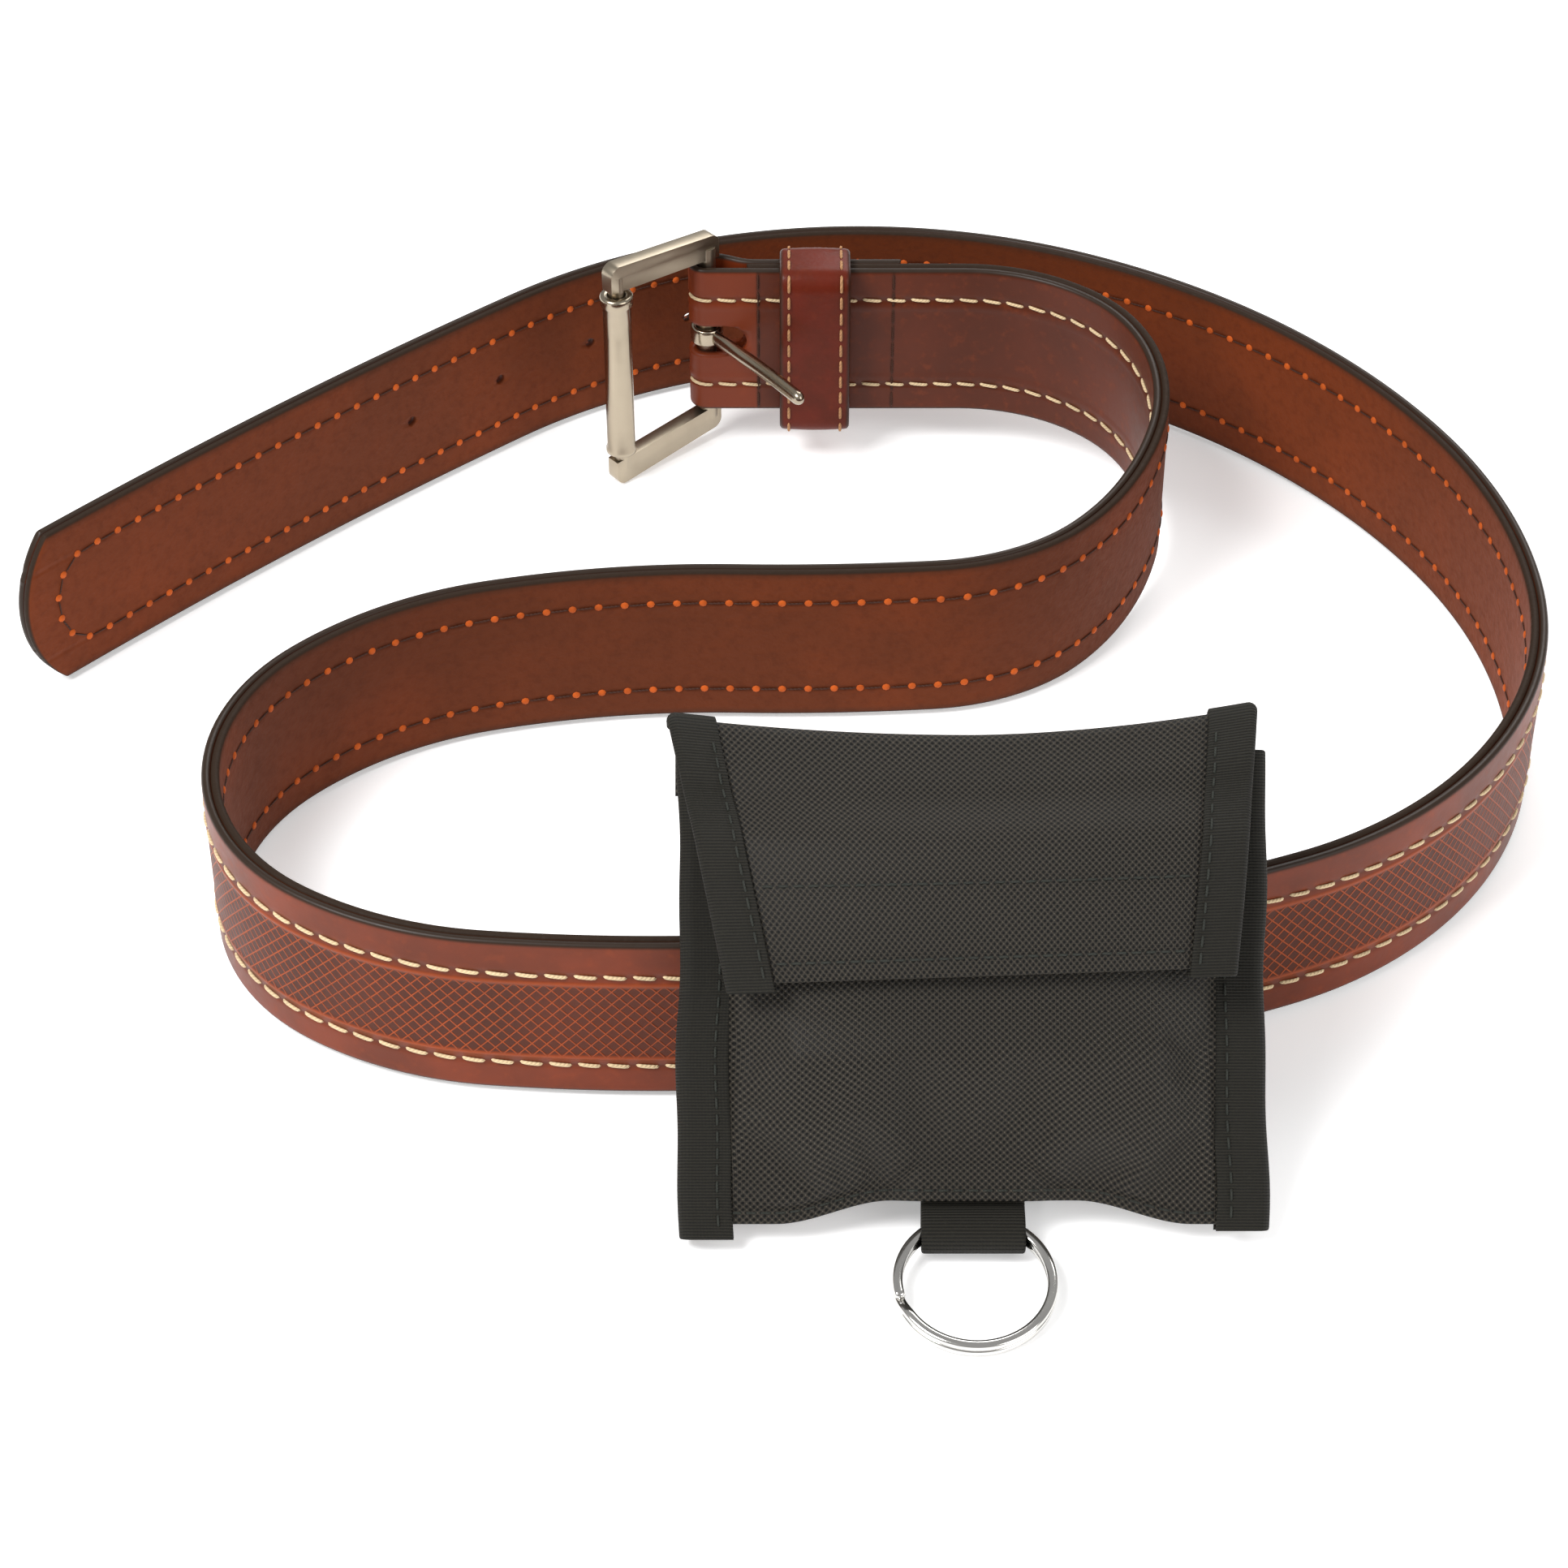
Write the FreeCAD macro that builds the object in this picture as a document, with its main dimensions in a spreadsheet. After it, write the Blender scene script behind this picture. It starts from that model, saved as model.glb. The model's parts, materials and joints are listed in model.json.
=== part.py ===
"""Leather tool belt with a flap pouch, coiled loosely and standing on its edge.

The belt is two leather plies that run on one shared line.  That line is drawn in plan as a chain of
tangent arcs that starts under the pouch and goes both ways: to the tongue and to the buckle.  The
front ply wraps the buckle's heel bar and comes back behind the lining.  The pouch leans back on the
belt's top edge and hangs from a webbing loop that goes round the belt.

Frame: origin under the pouch, on the plane that the belt stands on, midway through the belt's
thickness.  +X runs along the pouch's width, +Y goes into the coil, away from the pouch's front, and
+Z is up.  Lengths are in millimetres and angles in degrees.
"""
import FreeCAD
import Part

import math
import os

import Sketcher
from FreeCAD import Placement, Rotation, Vector

doc = FreeCAD.newDocument("tool_belt")

# ---------------------------------------------------------------------------------------------
# Driving dimensions
# ---------------------------------------------------------------------------------------------
SIZES = [
    # Belt section
    ("strap_width", 38.1, "height of the standing strap, 1 1/2 in"),
    ("ply", 1.8, "thickness of one leather ply"),
    ("strap_gap", 0.1, "strap's lower edge above the loop webbing, which lies on the floor"),
    ("front_heading", 10.0, "belt's direction under the pouch, from +X"),
    # Plan of the belt from the pouch to the tongue: each arc turns to the left
    ("front_radius", 330.0, "arc under the pouch, on both sides of it"),
    ("front_right_turn", 11.7, ""),
    ("right_bend_radius", 91.0, ""), ("right_bend_turn", 69.0, ""),
    ("right_side_radius", 122.0, ""), ("right_side_turn", 26.0, ""),
    ("back_right_radius", 154.0, ""), ("back_right_turn", 38.5, ""),
    ("back_run_radius", 123.0, ""), ("back_run_turn", 65.0, ""),
    ("tongue_run_radius", 1100.0, ""), ("tongue_run_turn", 7.2, ""),
    # Plan of the belt from the pouch to the buckle: the first five arcs turn right, the rest left
    ("front_left_turn", 15.6, ""),
    ("left_lead_radius", 75.0, ""), ("left_lead_turn", 28.0, ""),
    ("left_bend_radius", 47.7, ""), ("left_bend_turn", 100.6, ""),
    ("left_exit_radius", 78.0, ""), ("left_exit_turn", 31.5, ""),
    ("mid_run_radius", 190.0, ""), ("mid_run_turn", 15.7, ""),
    ("mid_end_radius", 390.0, ""), ("mid_end_turn", 6.2, ""),
    ("inner_lead_radius", 49.0, ""), ("inner_lead_turn", 40.0, ""),
    ("inner_side_radius", 72.0, ""), ("inner_side_turn", 28.4, ""),
    ("inner_bend_radius", 42.0, "turns until the strap runs along -X"),
    ("buckle_run", 58.0, "straight run from the last bend to the buckle's bar"),
    ("rise_start", 8.0, "how far past the mid run's end, along Y, the strap starts to climb"),
    ("rise_end", 12.0, "how far before the buckle run, along Y, it is up"),
    # Tongue
    ("tip_radius", 27.0, "rounded end of the tongue"),
    ("tip_trim", 0.5, "what the rounding takes off the very tip"),
    ("hole_radius", 2.3, "prong holes"),
    ("hole_pitch", 25.4, "prong hole spacing, 1 in"),
    ("hole_count", 7, "prong holes"),
    ("first_hole", 107.0, "first hole from the tip"),
    # Fold at the buckle
    ("fold_sweep", 12.0, "radius with which the fold closes on the lining"),
    ("fold_tail", 33.0, "flat part of the fold behind the lining"),
    ("slot_height", 8.0, "prong slot"),
    ("slot_front", 17.0, "prong slot before the bar"),
    ("slot_back", 9.0, "prong slot behind the bar"),
    # Buckle
    ("heel_bar_radius", 2.2, ""),
    ("bar_clearance", 0.08, "running fit on the buckle's bars"),
    ("buckle_depth", 26.0, "heel bar to front bar, centre to centre"),
    ("heel_gap", 0.95, "between the strap's edge and the frame's side, at the heel"),
    ("heel_side_width", 6.0, "frame's side at the heel"),
    ("front_side_width", 6.6, "frame's side at the front bar"),
    ("buckle_height", 59.0, "frame's height at the front bar"),
    ("frame_thickness", 3.4, ""),
    ("frame_overhang", 2.6, "frame past its bars' centres"),
    ("frame_corner", 2.4, "corner radius of the frame"),
    ("buckle_swing", 41.0, "frame's angle from the strap's straight extension, out of the coil"),
    ("front_bar_radius", 1.8, ""),
    ("roller_radius", 3.2, ""),
    ("roller_end_play", 0.4, "roller to frame, each end"),
    ("prong_swing", 87.0, "prong's angle from the frame's plane"),
    ("prong_width", 4.2, ""),
    ("prong_thickness", 2.6, ""),
    ("prong_reach", 35.5, "prong tip from the heel bar's centre"),
    ("prong_eye_wall", 1.5, ""),
    # Keeper
    ("keeper_width", 16.0, ""),
    ("keeper_ply", 2.0, "keeper leather"),
    ("keeper_place", 24.7, "keeper's middle from the heel bar's centre"),
    ("keeper_gap", 4.6, "in front of the strap, for the tongue"),
    ("keeper_clearance", 0.5, "round the strap's edges and back"),
    ("keeper_corner", 0.8, "inside corner radius of the keeper"),
    # Pouch, measured on its own panel: width across, height up the panel, depth out from its back
    ("pouch_width", 108.0, "over the bindings"),
    ("pouch_height", 96.5, "bottom edge to top fold"),
    ("pouch_lean", 43.5, "panel's angle from upright"),
    ("pouch_offset", 1.5, "pouch's middle from the origin along X"),
    ("belt_clearance", 0.4, "pouch's back to the belt's top edge"),
    ("panel", 2.0, "back panel thickness"),
    ("flange", 1.2, "front panel's seam flange"),
    ("wall", 1.6, "front panel's cloth with its padding"),
    ("pocket_margin", 10.0, "flat seam beside the bulging part of the front panel"),
    ("pocket_foot", 10.0, "height at which the bulge starts"),
    ("mouth_drop", 16.5, "mouth below the top fold"),
    ("foot_depth", 4.6, "bulge's depth at its foot"),
    ("mouth_depth", 10.5, "bulge's depth at the mouth"),
    ("bulge", 6.5, "how far the front bows out between foot and mouth"),
    ("arch_height", 8.6, "how far the bottom edge lifts in the middle"),
    ("arch_width", 46.0, "lifted part of the bottom edge"),
    ("arch_slope", 18.0, "width over which the bottom edge comes down again"),
    ("binding_width", 10.0, "grosgrain binding over the seam"),
    ("binding", 1.0, "binding thickness"),
    ("binding_stop", 9.0, "side binding's upper end below the top fold"),
    # Flap
    ("flap_ply", 1.8, ""),
    ("flap_overhang", 1.0, "flap past the pouch's sides at the fold"),
    ("flap_drop", 52.5, "flap's lower edge below the top fold"),
    ("flap_taper_left", 10.1, ""),
    ("flap_taper_right", 7.5, ""),
    ("fold_radius", 1.5, "rounded fold of the flap"),
    ("fold_clearance", 0.3, "flap's fold to the back panel"),
    ("lead_drop", 14.5, "where the flap meets the bulge's curve, below the top fold"),
    ("flap_binding_stop", 7.0, "flap binding's upper end below the top fold"),
    # Hook and loop tape
    ("tape", 1.1, "tape thickness"),
    ("tape_gap", 0.3, "hook tape to loop tape"),
    ("tape_height", 20.0, ""),
    ("tape_width", 58.0, ""),
    ("tape_rise", 6.0, "tape's lower edge above the flap's lower edge"),
    # Webbing loop round the belt
    ("loop_width", 28.0, ""),
    ("loop_web", 0.9, "webbing thickness; it lifts the strap off the floor"),
    ("loop_slack", 0.5, "loop to belt"),
    ("loop_seam", 9.0, "sewn ends of the loop"),
    ("loop_foot", 9.5, "height on the panel of the lower seam's start"),
    # Ring tab and split ring
    ("tab_width", 19.0, ""),
    ("tab_web", 1.1, ""),
    ("tab_seam", 9.0, "tab between the panels"),
    ("tunnel_radius", 3.7, "inside of the tab's loop"),
    ("ring_radius", 14.0, "middle of the ring's wire"),
    ("ring_wire", 2.0, "ring's thickness across its radius"),
    ("ring_height", 3.2, "ring's two coils"),
]

sheet = doc.addObject("Spreadsheet::Sheet", "Sizes")
for row, (name, value, note) in enumerate(SIZES, start=1):
    sheet.set("A%d" % row, name)
    sheet.set("B%d" % row, str(value))
    sheet.set("C%d" % row, note)
    sheet.setAlias("B%d" % row, name)
doc.recompute()


def size(name):
    """A driving dimension's value."""
    return float(sheet.get(name))


def bind(obj, **formulas):
    """Bind properties to sheet formulas; a double underscore stands for a dot."""
    for prop, formula in formulas.items():
        obj.setExpression(prop.replace("__", "."), formula)


def cell(text):
    """Write sheet names as expressions: cell('a + b') gives 'Sizes.a + Sizes.b'."""
    words = text.replace("(", " ( ").replace(")", " ) ").split()
    return " ".join("Sizes." + w if w in NAMES else w for w in words)


NAMES = {name for name, value, note in SIZES}
UP = Vector(0, 0, 1)
ACROSS = Vector(1, 0, 0)


# ---------------------------------------------------------------------------------------------
# Plan of the belt: runs are (start, heading, length, radius); a positive radius turns left
# ---------------------------------------------------------------------------------------------
def direction(heading):
    return Vector(math.cos(math.radians(heading)), math.sin(math.radians(heading)), 0)


def left_of(heading):
    return direction(heading + 90)


def along(run, distance, offset=0.0):
    """Point on a run, set off to its left, and the heading there."""
    start, heading, length, radius = run
    if radius == 0:
        return start + direction(heading) * distance + left_of(heading) * offset, heading
    there = heading + math.degrees(distance / radius)
    centre = start + left_of(heading) * radius
    return centre - left_of(there) * (radius - offset), there


def chain(start, heading, pieces):
    """Tangent runs one after another; a piece is (radius, turn) or (0, length)."""
    runs = []
    for radius, amount in pieces:
        length = amount if radius == 0 else math.radians(abs(amount)) * abs(radius)
        runs.append((start, heading, length, radius))
        start, heading = along(runs[-1], length)
    return runs


def turned_back(runs):
    """The same line travelled the other way."""
    back = []
    for run in reversed(runs):
        end, heading = along(run, run[2])
        back.append((end, heading + 180, run[2], -run[3]))
    return back


def edges_of(runs, offset):
    """Edges of the line set off to the left."""
    edges = []
    for run in runs:
        a, b = along(run, 0, offset)[0], along(run, run[2], offset)[0]
        if run[3] == 0:
            edges.append(Part.LineSegment(a, b).toShape())
        else:
            edges.append(Part.Arc(a, along(run, run[2] / 2, offset)[0], b).toShape())
    return edges


def band_face(runs, inner, outer):
    """Flat face between two set-off copies of a line."""
    near, far = edges_of(runs, inner), edges_of(runs, outer)
    first = [along(runs[0], 0, k)[0] for k in (inner, outer)]
    last = [along(runs[-1], runs[-1][2], k)[0] for k in (inner, outer)]
    caps = [Part.LineSegment(*first).toShape(), Part.LineSegment(*last).toShape()]
    return Part.Face(Part.Wire(Part.__sortEdges__(near + far + caps)))


def at_length(runs, distance):
    """Point and heading at a distance along the whole line."""
    for run in runs:
        if distance <= run[2]:
            return along(run, distance)
        distance -= run[2]
    return along(runs[-1], runs[-1][2])


def arcs(names, side):
    return [(side * size(n + "_radius"), size(n + "_turn")) for n in names]


ORIGIN = Vector(0, 0, 0)
to_tongue = chain(ORIGIN, size("front_heading"),
                  [(size("front_radius"), size("front_right_turn"))]
                  + arcs(["right_bend", "right_side", "back_right", "back_run", "tongue_run"], 1))
to_mid = chain(ORIGIN, size("front_heading") + 180,
               [(-size("front_radius"), size("front_left_turn"))]
               + arcs(["left_lead", "left_bend", "left_exit", "mid_run"], -1)
               + arcs(["mid_end"], 1))
mid_end, mid_heading = along(to_mid[-1], to_mid[-1][2])
climb = chain(mid_end, mid_heading, arcs(["inner_lead", "inner_side"], 1))
climb_end, climb_heading = along(climb[-1], climb[-1][2])
climb += chain(climb_end, climb_heading, [(size("inner_bend_radius"), 180 - climb_heading % 360)])
run_start, run_heading = along(climb[-1], climb[-1][2])
buckle_run = chain(run_start, run_heading, [(0, size("buckle_run"))])

level_line = turned_back(to_tongue) + to_mid
run_end = along(buckle_run[0], size("buckle_run"))[0]
eye_radius = size("heel_bar_radius") + size("bar_clearance")
heel = run_end - left_of(run_heading) * eye_radius

strap_low = size("loop_web") + size("strap_gap")
buckle_low = (size("buckle_height") - size("strap_width")) / 2
buckle_mid = size("buckle_height") / 2

# The fold turns half round the bar, then closes on the lining's back with two equal arcs
close_shift = 2 * eye_radius - size("ply")
close_turn = math.degrees(math.acos(1 - close_shift / (2 * size("fold_sweep"))))
close_length = 2 * size("fold_sweep") * math.sin(math.radians(close_turn))
fold_line = chain(run_end, run_heading, [
    (-eye_radius, 180),
    (-size("fold_sweep"), close_turn),
    (size("fold_sweep"), close_turn),
    (0, size("fold_tail")),
])


def climbing(face):
    """Stand a plan face up between two slopes that rise along Y from the floor to the buckle."""
    rise_from = mid_end.y + size("rise_start")
    rise_to = run_start.y - size("rise_end")
    far = 400.0
    low = [(-far, strap_low), (rise_from, strap_low), (rise_to, buckle_low), (far, buckle_low)]
    high = [(y, z + size("strap_width")) for y, z in reversed(low)]
    outline = [Vector(-far, y, z) for y, z in low + high]
    slab = Part.Face(Part.makePolygon(outline + outline[:1])).extrude(ACROSS * 2 * far)
    return face.extrude(UP * 2 * size("buckle_height")).common(slab)


def ply_solid(inner, outer, with_fold):
    """One leather ply of the belt, between two offsets from the shared line."""
    level = band_face(level_line, inner, outer)
    level.translate(UP * strap_low)
    solid = level.extrude(UP * size("strap_width"))
    end = climb + buckle_run
    if with_fold:
        end = end + fold_line
    else:
        straight, there, length, radius = buckle_run[0]
        end = climb + [(straight, there, length - close_length - size("ply"), radius)]
    return solid.fuse(climbing(band_face(end, inner, outer))).removeSplitter()


def standing_box(low, high):
    return Part.makeBox(high.x - low.x, high.y - low.y, high.z - low.z, low)


def tongue_cut():
    """What the rounded tip leaves: a block at the tongue's end less a lying disc."""
    tip, heading = along(level_line[0], 0)
    reach = size("tip_radius")
    trim = size("tip_trim")
    middle = tip + direction(heading) * (reach + trim)
    middle += UP * (strap_low + size("strap_width") / 2)
    side = left_of(heading)
    thick = 6 * size("ply")
    disc = Part.makeCylinder(reach, thick, middle - side * thick / 2, side)
    block = Part.makeBox(reach + 2 * trim, thick, 2 * reach,
                         Vector(-reach - 2 * trim, -thick / 2, -reach))
    block.Placement = Placement(middle, Rotation(UP, heading))
    return block.cut(disc)


def hole_tools():
    """Pins that cut the prong holes across both plies."""
    pins = []
    depth = 6 * size("ply")
    for number in range(int(size("hole_count"))):
        place, heading = at_length(level_line, size("first_hole") + number * size("hole_pitch"))
        side = left_of(heading)
        middle = place + UP * (strap_low + size("strap_width") / 2)
        pins.append(Part.makeCylinder(size("hole_radius"), depth, middle - side * depth / 2, side))
    return pins


def prong_slot():
    """Round-ended slot through the fold."""
    half = size("slot_height") / 2
    reach = 4 * eye_radius
    low = Vector(heel.x - reach, heel.y - reach, buckle_mid - half)
    front = standing_box(low, Vector(heel.x + size("slot_front"), heel.y, buckle_mid + half))
    back = standing_box(Vector(low.x, heel.y, low.z),
                        Vector(heel.x + size("slot_back"), heel.y + reach, buckle_mid + half))
    return front.fuse(back)


def feature(label, shape, placement=None):
    """A sub-part whose shape is made here."""
    obj = doc.addObject("Part::Feature", label)
    obj.Label = label
    obj.Shape = shape
    if placement is not None:
        obj.Placement = placement
    return obj


NODES = []


def node(obj, label=None):
    """Keep an object as a sub-part of the belt."""
    if label:
        obj.Label = label
    NODES.append(obj)
    return obj


# ---------------------------------------------------------------------------------------------
# Belt
# ---------------------------------------------------------------------------------------------
tip_waste = tongue_cut()
front_ply = ply_solid(0, size("ply"), True).cut([tip_waste, prong_slot()] + hole_tools())
node(feature("outer_strap", front_ply))
back_ply = ply_solid(-size("ply"), 0, False).cut([tip_waste] + hole_tools())
node(feature("lining_strap", back_ply))


# ---------------------------------------------------------------------------------------------
# Keeper: a closed leather loop round the strap and its fold
# ---------------------------------------------------------------------------------------------
def role_plane(body, role):
    for item in body.Origin.OriginFeatures:
        if item.Role == role:
            return item
    raise ValueError(role)


def new_body(label, placement):
    body = doc.addObject("PartDesign::Body", label)
    body.Label = label
    body.Placement = placement
    return body


def new_sketch(body, name, role="XY_Plane"):
    sketch = body.newObject("Sketcher::SketchObject", name)
    sketch.AttachmentSupport = [(role_plane(body, role), "")]
    sketch.MapMode = "FlatFace"
    return sketch


def outline(sketch, points):
    """Closed polygon whose corners are bound to the sheet; a point is (x formula, y formula)."""
    values = [(evaluate(a), evaluate(b)) for a, b in points]
    count = len(points)
    first = sketch.GeometryCount
    for i in range(count):
        a, b = values[i], values[(i + 1) % count]
        sketch.addGeometry(Part.LineSegment(Vector(a[0], a[1], 0), Vector(b[0], b[1], 0)), False)
    for i in range(count):
        sketch.addConstraint(Sketcher.Constraint(
            "Coincident", first + i, 2, first + (i + 1) % count, 1))
    for i, formulas in enumerate(points):
        for kind, formula, value in zip(("DistanceX", "DistanceY"), formulas, values[i]):
            index = sketch.addConstraint(Sketcher.Constraint(kind, -1, 1, first + i, 1, value))
            sketch.setExpression("Constraints[%d]" % index, cell(formula))


def evaluate(formula):
    """Value of a formula of sheet names."""
    return float(sheet.evalExpression(cell(formula)))


def rectangle(sketch, left, right, low, high):
    outline(sketch, [(left, low), (right, low), (right, high), (left, high)])


def pad(body, sketch, length, centred=False, back=False):
    feature_ = body.newObject("PartDesign::Pad", sketch.Name + "Pad")
    feature_.Profile = sketch
    bind(feature_, Length=cell(length))
    feature_.Midplane = centred
    feature_.Reversed = back
    return feature_


def pocket(body, sketch, length, back=False, centred=False):
    feature_ = body.newObject("PartDesign::Pocket", sketch.Name + "Pocket")
    feature_.Profile = sketch
    bind(feature_, Length=cell(length))
    feature_.Reversed = back
    feature_.Midplane = centred
    return feature_


run_y = run_start.y
keeper_place = Vector(heel.x + size("keeper_place"), run_y, buckle_mid)
keeper = new_body("keeper_loop", Placement(keeper_place, Rotation()))
section = new_sketch(keeper, "KeeperSection", "YZ_Plane")
rectangle(section,
          "0 - ply - keeper_gap - keeper_ply", "2 * ply + keeper_clearance + keeper_ply",
          "0 - strap_width / 2 - keeper_clearance - keeper_ply",
          "strap_width / 2 + keeper_clearance + keeper_ply")
rectangle(section,
          "0 - ply - keeper_gap", "2 * ply + keeper_clearance",
          "0 - strap_width / 2 - keeper_clearance", "strap_width / 2 + keeper_clearance")
keeper_pad = pad(keeper, section, "keeper_width", centred=True)
doc.recompute()


def edges_along(shape, axis, keep):
    """Names of the straight edges that run along an axis and whose middle passes a test."""
    names = []
    for number, edge in enumerate(shape.Edges, start=1):
        if edge.Curve.TypeId != "Part::GeomLine":
            continue
        if abs(edge.Curve.Direction.dot(axis)) > 0.999 and keep(edge.CenterOfMass):
            names.append("Edge%d" % number)
    return names


def fillet(body, base, names, radius):
    feature_ = body.newObject("PartDesign::Fillet", body.Label + "Fillet")
    feature_.Base = (base, names)
    bind(feature_, Radius=cell(radius))
    doc.recompute()
    return feature_


inside = size("strap_width") / 2 + size("keeper_clearance") + size("keeper_ply") / 2
inner_edges = edges_along(keeper_pad.Shape, ACROSS, lambda p: abs(p.z) < inside)
keeper_inner = fillet(keeper, keeper_pad, inner_edges, "keeper_corner")
outer_edges = edges_along(keeper_inner.Shape, ACROSS, lambda p: abs(p.z) > inside)
fillet(keeper, keeper_inner, outer_edges, "keeper_corner + keeper_ply")
node(keeper)


# ---------------------------------------------------------------------------------------------
# Buckle: its own X runs from the heel bar to the front bar, Z is up
# ---------------------------------------------------------------------------------------------
frame_heading = 180 + size("buckle_swing")
buckle_place = Placement(heel + UP * buckle_mid, Rotation(UP, frame_heading))
HEEL_INNER = "( strap_width / 2 + heel_gap )"
FRONT_INNER = "( buckle_height / 2 - front_side_width )"

frame = new_body("buckle_frame", buckle_place)
heel_bar = new_sketch(frame, "HeelBar")
heel_bar.addGeometry(Part.Circle(Vector(0, 0, 0), UP, evaluate("heel_bar_radius")), False)
heel_bar.addConstraint(Sketcher.Constraint("Coincident", 0, 3, -1, 1))
heel_bar.addConstraint(Sketcher.Constraint("Radius", 0, evaluate("heel_bar_radius")))
heel_bar.setExpression("Constraints[1]", cell("heel_bar_radius"))
pad(frame, heel_bar, "2 * " + HEEL_INNER + " + heel_side_width", centred=True)
sides = new_sketch(frame, "FrameSides", "XZ_Plane")
for sign in ("", "0 - "):
    heel_out = sign + "( strap_width / 2 + heel_gap + heel_side_width )"
    front_out = sign + "( buckle_height / 2 )"
    outline(sides, [
        ("0 - frame_overhang", sign + HEEL_INNER),
        ("buckle_depth + frame_overhang", sign + FRONT_INNER),
        ("buckle_depth + frame_overhang", front_out),
        ("0 - frame_overhang", heel_out),
    ])
pad(frame, sides, "frame_thickness", centred=True)
front_bar = new_sketch(frame, "FrontBar")
front_bar.addGeometry(Part.Circle(Vector(evaluate("buckle_depth"), 0, 0), UP,
                                  evaluate("front_bar_radius")), False)
front_bar.addConstraint(Sketcher.Constraint("PointOnObject", 0, 3, -1))
front_bar.addConstraint(Sketcher.Constraint("DistanceX", -1, 1, 0, 3, evaluate("buckle_depth")))
front_bar.addConstraint(Sketcher.Constraint("Radius", 0, evaluate("front_bar_radius")))
front_bar.setExpression("Constraints[1]", cell("buckle_depth"))
front_bar.setExpression("Constraints[2]", cell("front_bar_radius"))
frame_bars = pad(frame, front_bar, "2 * " + FRONT_INNER + " + front_side_width", centred=True)
doc.recompute()
thickness_way = Vector(0, 1, 0)
corner_height = size("strap_width") / 2 + size("heel_gap") + size("heel_side_width") / 2
fillet(frame, frame_bars,
       edges_along(frame_bars.Shape, thickness_way, lambda p: abs(p.z) > corner_height),
       "frame_corner")
node(frame)


def cylinder(name, radius, height, centre):
    """Upright cylinder centred on a point of the piece's own frame; all are formulas."""
    obj = doc.addObject("Part::Cylinder", name)
    bind(obj, Radius=cell(radius), Height=cell(height),
         Placement__Base__x=cell(centre), Placement__Base__z=cell("0 - ( " + height + " ) / 2"))
    return obj


def cut(name, base, tool, placement):
    obj = doc.addObject("Part::Cut", name)
    obj.Base = base
    obj.Tool = tool
    obj.Placement = placement
    return obj


FRAME_FLARE = "( " + FRONT_INNER + " - " + HEEL_INNER + " ) / ( buckle_depth + 2 * frame_overhang )"
ROLLER_LENGTH = ("2 * ( " + FRONT_INNER + " - roller_end_play - ( roller_radius + frame_overhang ) * "
                 + FRAME_FLARE + " )")
roller = cut("buckle_roller",
             cylinder("RollerBody", "roller_radius", ROLLER_LENGTH, "buckle_depth"),
             cylinder("RollerBore", "front_bar_radius + bar_clearance", "2 * buckle_height",
                      "buckle_depth"),
             buckle_place)
node(roller)

EYE = "heel_bar_radius + bar_clearance"
prong_place = Placement(heel + UP * buckle_mid, Rotation(UP, frame_heading + size("prong_swing")))
eye = cylinder("ProngEye", EYE + " + prong_eye_wall", "prong_width", "0")
tip = cylinder("ProngTip", "prong_thickness / 2", "prong_width",
               "prong_reach - prong_thickness / 2")
shaft = doc.addObject("Part::Box", "ProngShaft")
bind(shaft, Length=cell("prong_reach - prong_thickness / 2 - heel_bar_radius"),
     Width=cell("prong_thickness"), Height=cell("prong_width"),
     Placement__Base__x=cell("heel_bar_radius"),
     Placement__Base__y=cell("0 - prong_thickness / 2"),
     Placement__Base__z=cell("0 - prong_width / 2"))
prong_body = doc.addObject("Part::MultiFuse", "ProngBody")
prong_body.Shapes = [eye, shaft, tip]
prong = cut("buckle_prong", prong_body,
            cylinder("ProngBore", EYE, "2 * prong_width", "0"), prong_place)
node(prong)


# ---------------------------------------------------------------------------------------------
# Pouch: its own X is across, -Y is out of its back, Z is up the panel
# ---------------------------------------------------------------------------------------------
lean = math.radians(size("pouch_lean"))
strap_top = strap_low + size("strap_width")
front_face_y = (size("front_radius") * math.cos(math.radians(size("front_heading")))
                - size("front_radius") - size("ply"))
pouch_low = size("binding") * math.sin(lean)
rest_height = (strap_top - pouch_low) / math.cos(lean)
pouch_base = Vector(
    size("pouch_offset"),
    front_face_y - (size("belt_clearance") + size("binding")) / math.cos(lean)
    - rest_height * math.sin(lean),
    pouch_low)
pouch_place = Placement(pouch_base, Rotation(ACROSS, -size("pouch_lean")))


def panel_point(depth, height):
    """Side view of the pouch, in the belt's frame: out from the panel's back and up the panel."""
    return pouch_place.multVec(Vector(-size("pouch_offset"), -depth, height))


HALF_PANEL = "( pouch_width / 2 - binding )"
ARCH = "( arch_width / 2 )"
PANEL_TOP = "pouch_height - 2 * fold_radius - fold_clearance"


def panel_outline(sketch, top):
    outline(sketch, [
        ("0 - " + HALF_PANEL, "0"),
        ("0 - " + ARCH + " - arch_slope", "0"),
        ("0 - " + ARCH, "arch_height"),
        (ARCH, "arch_height"),
        (ARCH + " + arch_slope", "0"),
        (HALF_PANEL, "0"),
        (HALF_PANEL, top),
        ("0 - " + HALF_PANEL, top),
    ])


back_panel = new_body("pouch_back_panel", pouch_place)
back_outline = new_sketch(back_panel, "BackOutline", "XZ_Plane")
panel_outline(back_outline, PANEL_TOP)
pad(back_panel, back_outline, "panel")
node(back_panel)

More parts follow.
